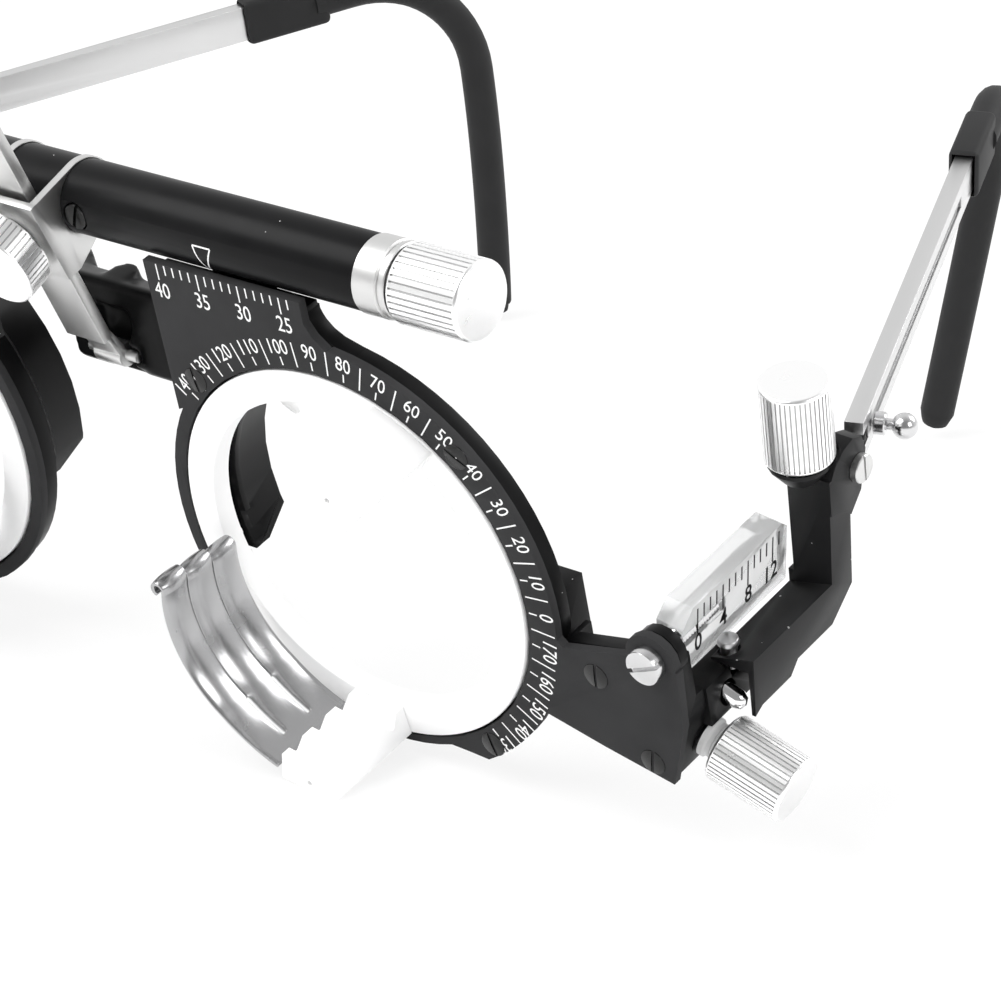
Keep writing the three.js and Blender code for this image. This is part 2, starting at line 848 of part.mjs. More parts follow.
function axisKnob() {
  const grip = knob(onDrive(axisKnobStart), driveDirection, knobLength, knobRadius, knobFlutes);
  const collar = rod(onDrive(armEndRadius + seatGap), driveDirection,
    axisKnobStart - armEndRadius, knobCollarRadius);
  const bore = rod(onDrive(armEndRadius), driveDirection,
    axisKnobStart + knobBoreDepth - armEndRadius, shaftRadius + seatGap);
  return cut(join(grip, collar), bore);
}

// Vertex scale

function vertexScale() {
  const back = scaleBarFront + scaleBarLength;
  const bar = sideways([
    [scaleBarFront, scaleBarLow + scaleBarChamfer], [scaleBarFront + scaleBarChamfer / 2, scaleBarLow],
    [back, scaleBarLow], [back, scaleBarTop - scaleBarChamfer / 2],
    [back - scaleBarChamfer / 2, scaleBarTop], [scaleBarFront + scaleBarChamfer, scaleBarTop],
    [scaleBarFront, scaleBarTop - scaleBarChamfer],
  ], scaleBarLeft, scaleBarLeft + scaleBarWidth);
  const leaning = turnAbout(bar, FRONT, -scaleBarLean, [scaleBarLeft + scaleBarWidth, 0, scaleBarLow]);
  const bore = rod([lugCentre[0], 0, lugCentre[1]], FRONT.clone().negate(), screwReach + seatGap,
    screwShankRadius + seatGap);
  return leaning.subtract(bore);
}

function scaleScrew() {
  const backwards = FRONT.clone().negate();
  const start = -screwHeadThickness - seatGap;
  const body = turned([lugCentre[0], start, lugCentre[1]], backwards, [
    [0, 0], [screwHeadRadius - screwSlotDepth / 2, 0], [screwHeadRadius, screwSlotDepth / 2],
    [screwHeadRadius, screwHeadThickness], [screwShankRadius, screwHeadThickness],
    [screwShankRadius, screwReach - start], [0, screwReach - start],
  ]);
  const slot = box(
    [lugCentre[0] - lugRadius, start - cutOverrun, lugCentre[1] - screwSlotWidth / 2],
    [lugCentre[0] + lugRadius, start + screwSlotDepth, lugCentre[1] + screwSlotWidth / 2],
  );
  return body.subtract(slot);
}

// Temple bracket and hinge, drawn upright

const lugRear = [lugCrown, lugBackTop, lugBack, lugHeel, lugFoot, [legFront + tiltBossTaper, legBack - legFront]];

function templeBracket() {
  const outline = [
    [footFront, footTop], [legFront, footTop], [legFront, legTop], [legBack, legTop],
    [legBack, heelTop], [heelStart, footRise], [footStep + footStepRun, footRise],
    [footStep, footLow + footStepRun / 2], [footStep - footStepRun, footLow + footStepRun / 2],
    [footFront + footStepRun, footLow + footStepRun / 2], [footFront, footLow],
  ];
  const outerDraft = THREE.MathUtils.radToDeg(Math.atan((footRight - legRight) / (legTop - footTop)));
  const beside = box(
    [footLeft - cutOverrun, footFront - cutOverrun, footTop], [legLeft, legBack + cutOverrun, legTop + cutOverrun],
  );
  const body = sideways(outline, footLeft, footRight).subtract(beside).subtract(turnAbout(
    box([legRight, footFront - cutOverrun, footLow - legTop], [footRight + cutOverrun, legBack + cutOverrun, legTop + cutOverrun]),
    FRONT, -outerDraft, [legRight, 0, legTop],
  ));
  const outerLug = sideways(
    [[legFront, lugHeel[1]], [legFront, lugBack[1] - innerLugRise / 2], lugFrontRise, lugShoulder, ...lugRear],
    outerLugLeft, legRight,
  );
  const innerLug = sideways([
    [legFront + tiltBossTaper, legTop], ...lugRear.map(([y, z], i) => [y, i < 2 ? z - innerLugRise : z]),
  ], innerLugLeft, innerLugRight);
  const boss = turned([tiltKnobPlace[0], tiltKnobPlace[1], tiltKnobLow - seatGap], UP.clone().negate(), [
    [0, 0], [tiltBossRadius, 0], [tiltBossRadius, tiltBossRim],
    [tiltBossFoot, tiltBossRim + tiltBossTaper], [0, tiltBossRim + tiltBossTaper],
  ]);
  const pocket = box(
    [legLeft - cutOverrun, footFront - cutOverrun, footLow - cutOverrun],
    [pocketRight, pocketBack, endBlockTop + seatGap],
  );
  const slope = turnAbout(
    box([legLeft - cutOverrun, footFront - cutOverrun, footTop],
      [footRight + cutOverrun, legFront, footTop + cutOverrun + cutOverrun]),
    FRONT, footTopSlope, [legRight, 0, footTop],
  );
  const sweepAt = (radius) => rod([innerLugRight, ...pinPlace], ACROSS, outerLugLeft - innerLugRight, radius, circleSides / 2);
  const toeRoom = sweepAt(linkSweep).intersect(box(
    [innerLugRight, legFront - cutOverrun, lugFoot[1] - cutOverrun], [outerLugLeft, lugBack[0] + cutOverrun, linkSweepTop],
  ));
  const bladeRoom = box(
    [innerLugRight, pinPlace[0], pinPlace[1] - linkSweep], [outerLugLeft, lugBack[0] + cutOverrun, lugCrown[1] + cutOverrun],
  );
  const knobRoom = rod([...tiltKnobPlace, tiltKnobLow - seatGap], UP, tiltKnobHeight, knobRadius + seatGap);
  const stem = rod([...tiltKnobPlace, tiltStemLow - seatGap], UP, 2 * cutOverrun, tiltStem + seatGap);
  const screwHole = rod([bracketScrewPlace[0], bracketScrewPlace[1], footLow], UP,
    footTop - footLow + cutOverrun, bracketScrewShank + seatGap);
  const pinHole = rod([innerLugLeft - cutOverrun, ...pinPlace], ACROSS,
    legRight - innerLugLeft + 2 * cutOverrun, pinRadius);
  return cut(
    join(body, outerLug, innerLug, boss), pocket, slope, sweepAt(linkEye + seatGap), toeRoom, bladeRoom,
    knobRoom, stem, screwHole, pinHole,
  );
}

/** Height of the bracket foot's sloping top at a place across it. */
function footTopAt(x) {
  return footTop - (legRight - x) * Math.tan(radians(footTopSlope));
}

function bracketScrew() {
  const seat = footTopAt(bracketScrewPlace[0] - bracketScrewHead) + bracketScrewHead;
  const low = endBlockTop - bracketScrewDepth + seatGap;
  return turned([bracketScrewPlace[0], bracketScrewPlace[1], low], UP, [
    [0, 0], [bracketScrewShank, 0], [bracketScrewShank, seat - low],
    [bracketScrewHead, seat - low], [bracketScrewHead * Math.cos(Math.PI / 6), seat - low + bracketScrewHead / 2],
    [0, seat - low + bracketScrewHead * Math.sin(Math.PI / 4)],
  ]);
}

function tiltKnob() {
  const grip = knob([...tiltKnobPlace, tiltKnobLow], UP, tiltKnobHeight, knobRadius, knobFlutes);
  const stem = rod([...tiltKnobPlace, tiltStemLow], UP, tiltKnobLow - tiltStemLow + knobBevel, tiltStem);
  return grip.add(stem);
}

/** The headed pin, pressed through both lugs, that the tilt link rocks on. */
function hingePin() {
  const width = legRight - innerLugLeft;
  return turned([innerLugLeft, ...pinPlace], ACROSS, [
    [0, 0], [pinRadius - seatGap / 10, 0], [pinRadius - seatGap / 10, width + seatGap / 10],
    [pinHeadRadius, width + seatGap / 10], [pinHeadRadius, width + pinHeadThickness - channelWall / 2],
    [pinHeadRadius - channelWall / 2, width + pinHeadThickness], [0, width + pinHeadThickness],
  ]);
}

/** The link between the lugs. Its blade carries the upright post that the temple folds on. */
function tiltLink() {
  const low = innerLugRight + seatGap;
  const high = outerLugLeft - seatGap;
  const middle = (low + high) / 2;
  const eye = rod([low, ...pinPlace], ACROSS, high - low, linkEye, circleSides / 2);
  const toe = box([low, ...linkToe], [high, pinPlace[0], linkToeTop]);
  const bladeLow = foldPlace[1] - bladeThickness / 2;
  const blade = box([middle - bladeEye / 2, pinPlace[0], bladeLow],
    [middle + bladeEye / 2, foldPlace[0], bladeLow + bladeThickness]);
  const tip = rod([middle, foldPlace[0], bladeLow], UP, bladeThickness, bladeEye, 16);
  const post = rod([middle, foldPlace[0], foldPlace[1] - postHalf], UP, 2 * postHalf, postRadius, 12);
  const hole = rod([low - cutOverrun, ...pinPlace], ACROSS, high - low + 2 * cutOverrun, pinRadius + seatGap);
  return join(eye, toe, blade, tip, post).subtract(hole);
}

// Temple: X is its thickness, Y runs back along it from the fold post and Z is its height.

function templeBar() {
  const half = channelWidth / 2;
  const top = channelHeight / 2;
  const end = barStart + channelLength;
  const outside = box([-half, barStart, -top], [half, end, top]);
  const inside = box(
    [-half + channelWall, barStart + eyeBlockLength, -top - cutOverrun],
    [half - channelWall, end + cutOverrun, top - channelWall],
  );
  const slot = box(
    [0, barStart + sideSlotFrom, -sideSlotHeight / 2],
    [half + cutOverrun, barStart + sideSlotTo, sideSlotHeight / 2],
  );
  const bladeSlot = box(
    [-half - cutOverrun, barStart - cutOverrun, -bladeThickness / 2 - seatGap],
    [half + cutOverrun, barStart + bladeSlotLength + seatGap, bladeThickness / 2 + seatGap],
  );
  const postHole = rod([0, 0, -top - cutOverrun], UP, top + cutOverrun + postHalf + seatGap,
    postRadius + seatGap, 16);
  return cut(outside, inside, slot, bladeSlot, postHole);
}

function templeCore() {
  const half = coreWidth / 2;
  return box([-half, coreStart, -coreHeight / 2], [half, coreEnd, coreHeight / 2]).subtract(
    rod([-cutOverrun, coreStart + clampSetBack, 0], ACROSS, 2 * cutOverrun, clampShankRadius + seatGap, 12),
  );
}

function clampScrew() {
  const start = -coreWidth / 2;
  const face = channelWidth / 2 + seatGap - start;
  const neck = face + ballCollarLength;
  const ballStart = neck + ballNeckLength;
  const profile = [
    [0, 0], [clampShankRadius, 0], [clampShankRadius, face], [ballCollarRadius, face],
    [ballCollarRadius, neck], [ballNeckRadius, neck], [ballNeckRadius, ballStart],
  ];
  const middle = ballStart + Math.sqrt(ballRadius ** 2 - ballNeckRadius ** 2);
  for (let degrees = -50; degrees < 90; degrees += 28) {
    const angle = radians(degrees);
    profile.push([ballRadius * Math.cos(angle), middle + ballRadius * Math.sin(angle)]);
  }
  profile.push([0, middle + ballRadius]);
  return turned([start, coreStart + clampSetBack, 0], ACROSS, profile, 12);
}

/** Middle line of the ear hook: along the temple, round the bend and down. */
function hookPath() {
  const path = new THREE.CurvePath();
  const flat = (y, z) => new THREE.Vector3(0, y, z);
  const end = bendStart + bendRadius;
  path.add(new THREE.LineCurve3(flat(bendStart - bendRadius, 0), flat(bendStart, 0)));
  path.add(new THREE.CubicBezierCurve3(
    flat(bendStart, 0), flat(bendStart + bendRadius * 0.55, 0),
    flat(end, -bendRadius * 0.45), flat(end, -bendRadius),
  ));
  path.add(new THREE.QuadraticBezierCurve3(
    flat(end, -bendRadius), flat(end, -bendRadius - hookDrop / 2),
    flat(end - hookToe, -bendRadius - hookDrop),
  ));
  return path;
}

/** The ear hook: a round-edged band swept along its path, with a square sleeve in front. */
/** The sleeve stays square to the bar, and the tail rolls about the bar's line. */
function earHook(roll) {
  const path = hookPath();
  const points = path.getSpacedPoints(hookSteps);
  const rounds = 8;
  const positions = [];
  const ringAt = (point, along, shrink) => {
    const across = new THREE.Vector3(0, -along.z, along.y);
    for (let i = 0; i < rounds; i += 1) {
      const angle = (2 * Math.PI * (i + 1 / 2)) / rounds;
      const x = Math.sign(Math.cos(angle)) * Math.abs(Math.cos(angle)) ** 0.7 * hookWidth / 2;
      const z = Math.sign(Math.sin(angle)) * Math.abs(Math.sin(angle)) ** 0.7 * hookThickness / 2;
      positions.push(point.clone().addScaledVector(across, z * shrink).setX(x * shrink));
    }
  };
  const directionAt = (i) => points[Math.min(i + 1, hookSteps)].clone()
    .sub(points[Math.max(i - 1, 0)]).normalize();
  points.forEach((point, i) => ringAt(point, directionAt(i), 1));
  const last = directionAt(hookSteps);
  ringAt(points[hookSteps].clone().addScaledVector(last, hookThickness * 0.3), last, 0.75);
  const rings = hookSteps + 2;
  positions.push(points[0].clone(), points[hookSteps].clone().addScaledVector(last, hookThickness * 0.4));
  const faces = [];
  const at = (ring, i) => ring * rounds + (i % rounds);
  for (let ring = 0; ring < rings - 1; ring += 1) {
    for (let i = 0; i < rounds; i += 1) {
      faces.push(at(ring, i), at(ring, i + 1), at(ring + 1, i + 1));
      faces.push(at(ring, i), at(ring + 1, i + 1), at(ring + 1, i));
    }
  }
  for (let i = 0; i < rounds; i += 1) {
    faces.push(at(0, i + 1), at(0, i), rings * rounds);
    faces.push(at(rings - 1, i), at(rings - 1, i + 1), rings * rounds + 1);
  }
  const geometry = new THREE.BufferGeometry().setFromPoints(positions);
  geometry.setIndex(faces);
  const sleeve = box(
    [-sleeveWidth / 2, sleeveFrom, -sleeveHeight / 2], [sleeveWidth / 2, coreEnd + seatGap + channelWall, sleeveHeight / 2],
  );
  const barRoom = box(
    [-channelWidth / 2 - seatGap, sleeveFrom - cutOverrun, -channelHeight / 2 - seatGap],
    [channelWidth / 2 + seatGap, barStart + channelLength + seatGap, channelHeight / 2 + seatGap],
  );
  const rodRoom = box(
    [-coreWidth / 2 - seatGap, sleeveFrom - cutOverrun, -coreHeight / 2 - seatGap],
    [coreWidth / 2 + seatGap, coreEnd + seatGap, coreHeight / 2 + seatGap],
  );
  const square = (body) => turnAbout(body, FRONT, roll, [0, 0, 0]);
  return cut(join(solid(geometry), square(sleeve)), square(barRoom), square(rodRoom));
}

// Tube and pupil distance drive

const axisX = (x) => [x, tubeDepth, tubeHeight];

function crossbarTube() {
  const inside = tubeRadius - tubeWall;
  const length = 2 * tubeHalfLength;
  const tube = rod(axisX(-tubeHalfLength), ACROSS, length, tubeRadius, tubeSides);
  const bore = rod(axisX(-tubeHalfLength - cutOverrun), ACROSS, length + 2 * cutOverrun, inside, tubeSides);
  const low = tubeHeight - tubeRadius - cutOverrun;
  const slots = [1, -1].map((side) => {
    const ends = [side * slotInner, side * slotOuter].sort((a, b) => a - b);
    return box([ends[0], tubeDepth - slotHalfWidth, low], [ends[1], tubeDepth + slotHalfWidth, tubeHeight]);
  });
  const holes = [1, -1].map((side) => rod(
    [side * tubeScrewPlace, tubeDepth - tubeRadius - cutOverrun, tubeHeight], FRONT.clone().negate(),
    tubeRadius + cutOverrun, tubeScrewRadius + seatGap / 2,
  ));
  return cut(tube, bore, ...slots, ...holes);
}

function centrePlug() {
  const plug = rod(axisX(-plugHalfLength), ACROSS, 2 * plugHalfLength,
    tubeRadius - tubeWall - seatGap / 2, smallSides);
  const bores = [1, -1].map((side) => rod(axisX(side * plugHalfLength + side * cutOverrun),
    ACROSS.clone().multiplyScalar(-side), plugBearing + cutOverrun, leadScrewRadius + seatGap));
  return cut(plug, ...bores, ...[1, -1].map((side) => rod(
    [side * tubeScrewPlace, tubeDepth - tubeRadius, tubeHeight], FRONT.clone().negate(),
    tubeScrewDepth + seatGap, tubeScrewRadius + seatGap,
  )));
}

function tubeScrew(side) {
  const front = tubeDepth - tubeRadius;
  const body = rod([side * tubeScrewPlace, front, tubeHeight], FRONT.clone().negate(),
    tubeScrewDepth, tubeScrewRadius);
  const slot = box(
    [side * tubeScrewPlace - screwSlotWidth / 2, front - cutOverrun, tubeHeight - tubeRadius],
    [side * tubeScrewPlace + screwSlotWidth / 2, front + screwSlotDepth, tubeHeight + tubeRadius],
  );
  return body.subtract(slot);
}

const collarStart = tubeHalfLength + seatGap;
const pdKnobStart = collarStart + collarLength + seatGap;

function pdCollar() {
  const inside = leadScrewRadius + seatGap;
  const mouth = tubeRadius - tubeWall - seatGap;
  return turned(axisX(collarStart - plugBearing), ACROSS, [
    [inside, 0], [mouth, 0], [mouth, plugBearing], [collarRadius, plugBearing],
    [collarRadius, plugBearing + collarLength - collarLip],
    [collarRadius - fluteDepth, plugBearing + collarLength - collarLip],
    [collarRadius - fluteDepth, plugBearing + collarLength],
    [inside, plugBearing + collarLength], [inside, 0],
  ], circleSides / 2);
}

function pdKnob() {
  const grip = knob(axisX(pdKnobStart), ACROSS, knobLength, pdKnobRadius, knobFlutes);
  const bore = rod(axisX(pdKnobStart - cutOverrun), ACROSS, knobBoreDepth + cutOverrun, knobBore);
  return grip.subtract(bore);
}

function leadScrew() {
  const start = plugHalfLength - plugBearing + seatGap;
  return rod(axisX(start), ACROSS, pdKnobStart + knobBoreDepth - seatGap - start, leadScrewRadius, 12);
}

function carriage() {
  const length = carriageTo - carriageFrom;
  const nut = rod([carriageFrom, tubeDepth, tubeHeight], ACROSS, length, carriageRadius);
  const neck = box(
    [carriageFrom, tubeDepth - carriageHalfNeck, carriageFoot],
    [carriageTo, tubeDepth + carriageHalfNeck, tubeHeight - leadScrewRadius],
  );
  const bore = rod([carriageFrom - cutOverrun, tubeDepth, tubeHeight], ACROSS,
    length + 2 * cutOverrun, leadScrewRadius + seatGap);
  return join(nut, neck).subtract(bore);
}

// Bridge

function bridgeBracket() {
  const centre = [tubeDepth, tubeHeight];
  const outline = hull([
    ...arc(centre, bracketCrown, 0, 360, tubeSides), bracketFrontTop, bracketFrontLow, bracketBackLow,
  ]);
  const body = sideways(outline, -bracketHalfWidth, bracketHalfWidth);
  const lean = new THREE.Vector2(
    bracketFrontLow[0] - bracketFrontTop[0], bracketFrontLow[1] - bracketFrontTop[1],
  ).normalize();
  const inset = [-lean.y * bracketSheet, lean.x * bracketSheet];
  const reach = 4 * bracketCrown;
  const along = (point, distance) => [
    point[0] + inset[0] + lean.x * distance, point[1] + inset[1] + lean.y * distance,
  ];
  const hollow = sideways([
    along(bracketFrontTop, -reach), along(bracketFrontLow, reach),
    [tubeDepth + reach, tubeHeight - reach], [tubeDepth + reach, tubeHeight + reach],
  ], -bracketHalfWidth + bracketSheet, bracketHalfWidth - bracketSheet);
  const tubeHole = rod([-bracketHalfWidth - cutOverrun, tubeDepth, tubeHeight], ACROSS,
    2 * (bracketHalfWidth + cutOverrun), tubeRadius + seatGap, tubeSides);
  const studHole = rod(clampPoint(-cutOverrun), clampDirection, 2 * cutOverrun, clampStud + seatGap);
  return cut(body, hollow, tubeHole, studHole);
}

const clampDirection = new THREE.Vector3(
  0, bracketFrontLow[1] - bracketFrontTop[1], -(bracketFrontLow[0] - bracketFrontTop[0]),
).normalize();

/** A point on the clamp knob's axis, measured forwards from the bracket's front face. */
function clampPoint(along) {
  const share = (clampHeight - bracketFrontTop[1]) / (bracketFrontLow[1] - bracketFrontTop[1]);
  const depth = THREE.MathUtils.lerp(bracketFrontTop[0], bracketFrontLow[0], share);
  return [0, depth + along * clampDirection.y, clampHeight + along * clampDirection.z];
}

function noseClampKnob() {
  const grip = knob(clampPoint(clampStandOff), clampDirection, clampThickness, clampRadius, clampFlutes);
  const hub = rod(clampPoint(seatGap), clampDirection, clampStandOff + knobBevel, clampRadius / 2);
  const bore = rod(clampPoint(0), clampDirection, clampStandOff + clampThickness - knobBevel, clampStud + seatGap);
  return join(grip, hub).subtract(bore);
}

function noseClampScrew() {
  return rod(clampPoint(-bracketSheet), clampDirection,
    bracketSheet + clampStandOff + clampThickness - 2 * knobBevel, clampStud);
}

/** The nose bar: a leaning strip whose narrow tongue runs down to a cross pin. */
function noseBar() {
  const bar = turnAbout(
    box([-barWidth / 2, barFoot[0], barFoot[1]], [barWidth / 2, barFoot[0] + barThickness, barFoot[1] + barLength]),
    ACROSS, barLean, [0, ...barFoot],
  );
  const [depth, height] = tonguePinPlace;
  const tongue = sideways([
    [barFoot[0] + barThickness - tongueThickness, barFoot[1] + barThickness],
    [depth - tongueThickness, height], [depth + tongueThickness / 2, height],
    [barFoot[0] + barThickness, barFoot[1] + barThickness],
  ], -tongueWidth / 2, tongueWidth / 2);
  const eye = rod([-tongueWidth / 2, depth, height], ACROSS, tongueWidth, tongueEye);
  const pin = rod([-barPinLength / 2, depth, height], ACROSS, barPinLength, barPinRadius, 12);
  return join(bar, tongue, eye, pin);
}

function noseSaddle() {
  const half = saddleHalfWidth;
  const body = sideways([
    [saddleFront, saddleLow + saddleChamfer], [saddleFront, saddleTop - saddleChamfer / 2],
    [saddleFront + saddleChamfer / 2, saddleTop], [saddleBack, saddleTopBack],
    [saddleBack, saddleLow], [saddleFront + saddleChamfer, saddleLow],
  ], -half, half);
  const yoke = sideways([
    [saddleFront + saddleChamfer, yokeLow], [yokeFront + saddleChamfer, yokeLow],
    [yokeFront, yokeLow + saddleChamfer], [yokeFront, yokeTop - saddleChamfer],
    [saddleFront + saddleChamfer, yokeTop + saddleChamfer],
  ], -yokeHalfWidth, yokeHalfWidth);
  const wings = [1, -1].map((side) => {
    const slab = new THREE.ExtrudeGeometry(shapeOf([
      [side * (half - wingThickness), wingFrontInner], [side * half, wingFrontInner],
      [side * wingReach, wingFront], [side * wingReach, wingBack], [side * (wingReach - wingThickness), wingBack],
      [side * (half - wingThickness), saddleBack],
    ]), { depth: saddleTop - saddleLow, bevelEnabled: false });
    slab.translate(0, 0, saddleLow);
    return solid(slab).intersect(facing([
      [0, saddleLow], [side * half, saddleLow], [side * wingReach, wingLowOuter],
      [side * wingReach, wingTopOuter], [side * half, saddleTopBack], [0, saddleTopBack],
    ], saddleFront, wingBack + cutOverrun));
  });
  const post = rod([0, postPlace, saddleLow + saddleChamfer], UP, postTop - saddleLow - saddleChamfer, postWidth);
  const slot = box(
    [-yokeSlotHalf, yokeFront - cutOverrun, yokeLow - cutOverrun],
    [yokeSlotHalf, tonguePinPlace[0] + tongueEye + seatGap, yokeTop + cutOverrun],
  );
  const footRoom = turnAbout(
    box([-barWidth / 2 - seatGap, barFoot[0] - cutOverrun, barFoot[1] - seatGap],
      [barWidth / 2 + seatGap, barFoot[0] + barThickness + seatGap, barFoot[1] + barLength]),
    ACROSS, barLean, [0, ...barFoot],
  );
  const pinRoom = rod([-barPinLength / 2 - seatGap, ...tonguePinPlace], ACROSS,
    barPinLength + 2 * seatGap, barPinRadius + seatGap);
  return cut(join(body, yoke, ...wings, post), slot, footRoom, pinRoom);
}

function nosePad(side) {
  const pad = new THREE.SphereGeometry(padLength / 2, 14, 10);
  pad.scale(padThickness / padLength, padWidth / padLength, 1);
  pad.rotateY(radians(-padSplay) * side);
  pad.rotateZ(radians(padToe) * side);
  pad.translate(side * padPlace[0], padPlace[1], padPlace[2]);
  return solid(pad);
}

// Assembly

function addMesh(parent, name, body, finish, mirrored = false) {
  const mesh = new THREE.Mesh(
    geometryOf(body, mirrored), new THREE.MeshStandardMaterial(finishes[finish]),
  );
  mesh.name = name;
  parent.add(mesh);
  return mesh;
}

function addGroup(parent, name, place = [0, 0, 0]) {
  const group = new THREE.Group();
  group.name = name;
  group.position.set(...place);
  parent.add(group);
  return group;
}

function addTemple(bracket, sideName, side) {
  const mirrored = side < 0;
  const middle = (innerLugRight + outerLugLeft) / 2;
  addGroup(bracket, `tilt_knob_${sideName}_frame`, [side * tiltKnobPlace[0], tiltKnobPlace[1], tiltKnobLow]);
  addMesh(bracket, `tilt_knob_${sideName}`, tiltKnob(), 'chrome', mirrored);
  addMesh(bracket, `hinge_pin_${sideName}`, hingePin(), 'chrome', mirrored);
  const tilt = addGroup(bracket, `tilt_${sideName}_frame`, [0, ...pinPlace]);
  tilt.rotation.x = radians(tiltAngle[sideName]);
  const link = addGroup(tilt, '', [0, -pinPlace[0], -pinPlace[1]]);
  addMesh(link, `tilt_link_${sideName}`, tiltLink(), 'blackPlastic', mirrored);
  const temple = addGroup(link, `fold_${sideName}_frame`, [side * middle, ...foldPlace]);
  temple.rotation.z = side * radians(foldAngle[sideName]);
  addMesh(temple, `temple_bar_${sideName}`, templeBar(), 'chrome', mirrored);
  addMesh(temple, `temple_core_${sideName}`, templeCore(), 'steel', mirrored);
  addMesh(temple, `clamp_screw_${sideName}`, clampScrew(), 'chrome', mirrored);
  addGroup(temple, `clamp_${sideName}_frame`, [0, coreStart + clampSetBack, 0]);
  const hook = addGroup(temple, `hook_${sideName}_frame`);
  hook.rotation.y = side * radians(hookRoll[sideName]);
  addMesh(hook, `ear_hook_${sideName}`, earHook(hookRoll[sideName]), 'blackPlastic', mirrored);
}

function addCell(frame, sideName, side) {
  const mirrored = side < 0;
  const cell = addGroup(frame, `cell_${sideName}_frame`, [side * pupilDistance[sideName], 0, 0]);
  const add = (name, body, finish) => addMesh(cell, `${name}_${sideName}`, body, finish, mirrored);
  add('scale_plate', scalePlate(), 'plate');
  add('cell_housing', cellHousing(), 'blackPlastic');
  add('lens_ring', lensRing(), 'white');
  add('lower_lens_block', lensBlock(lowerBlockAngle), 'white');
  add('upper_lens_block', lensBlock(upperBlockAngle), 'white');
  add('lens_spring', lensSpring(), 'chrome');
  add('axis_shaft', axisShaft(), 'steel');
  add('axis_knob', axisKnob(), 'chrome');
  add('detent_pin', detentPin(), 'chrome');
  add('carriage', carriage(), 'steel');
  add('vertex_scale', vertexScale(), 'clear');
  add('scale_screw', scaleScrew(), 'chrome');
  const leaning = addGroup(cell, `bracket_${sideName}_frame`, [side * bracketPivot[0], 0, bracketPivot[1]]);
  leaning.rotation.y = side * radians(bracketLean);
  const bracket = addGroup(leaning, '', [-side * bracketPivot[0], 0, -bracketPivot[1]]);
  addMesh(bracket, `temple_bracket_${sideName}`, templeBracket(), 'blackPlastic', mirrored);
  addMesh(bracket, `bracket_screw_${sideName}`, bracketScrew(), 'chrome', mirrored);
  addTemple(bracket, sideName, side);
  const drive = addGroup(frame, `pd_${sideName}_frame`);
  addMesh(drive, `pd_collar_${sideName}`, pdCollar(), 'nickel', mirrored);
  addMesh(drive, `pd_knob_${sideName}`, pdKnob(), 'chrome', mirrored);
  addMesh(drive, `lead_screw_${sideName}`, leadScrew(), 'steel', mirrored);
  addMesh(frame, `tube_screw_${sideName}`, tubeScrew(side), 'blackPlastic');
}

function buildTrialFrame() {
  const frame = new THREE.Group();
  frame.name = 'trial_frame';
  addMesh(frame, 'crossbar_tube', crossbarTube(), 'anodised');
  addMesh(frame, 'centre_plug', centrePlug(), 'steel');
  addMesh(frame, 'bridge_bracket', bridgeBracket(), 'nickel');
  addMesh(frame, 'nose_clamp_knob', noseClampKnob(), 'chrome');
  addMesh(frame, 'nose_clamp_screw', noseClampScrew(), 'steel');
  addGroup(frame, 'clamp_axis', clampPoint(0));
  const noseRest = addGroup(frame, '', [0, 0, tubeHeight - noseRestDrop]);
  addMesh(noseRest, 'nose_bar', noseBar(), 'nickel');
  addGroup(noseRest, 'bar_axis', [0, ...barFoot]).rotation.x = radians(barLean);
  addGroup(noseRest, 'saddle_axis', [0, ...tonguePinPlace]);
  addMesh(noseRest, 'nose_saddle', noseSaddle(), 'blackPlastic');
  addMesh(noseRest, 'nose_pad_right', nosePad(1), 'silicone');
  addMesh(noseRest, 'nose_pad_left', nosePad(-1), 'silicone');
  addCell(frame, 'right', 1);
  addCell(frame, 'left', -1);
  frame.rotation.x = restLean;
  frame.updateMatrixWorld(true);
  const bounds = new THREE.Box3().setFromObject(frame, true);
  const middle = bounds.getCenter(new THREE.Vector3());
  frame.position.set(-middle.x, -middle.y, -bounds.min.z);
  frame.updateMatrixWorld(true);
  return frame;
}

export default buildTrialFrame();
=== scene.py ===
"""Looks for an optical trial frame.

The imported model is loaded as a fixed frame, and each sub-assembly below dresses its own
nodes: the scale plates and housings, the white lens rings with their springs, the tube with
its knobs, the bridge with its nose rest, and the temples. Sub-assemblies are drawn in
millimetres about their own axes and are put in place by a Place, which gives metres in
the row frame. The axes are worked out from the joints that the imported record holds.
"""

from __future__ import annotations

import json
import logging
import math
from dataclasses import dataclass, field
from enum import Enum
from typing import Callable, Iterable, Sequence

import bpy
from mathutils import Matrix, Vector

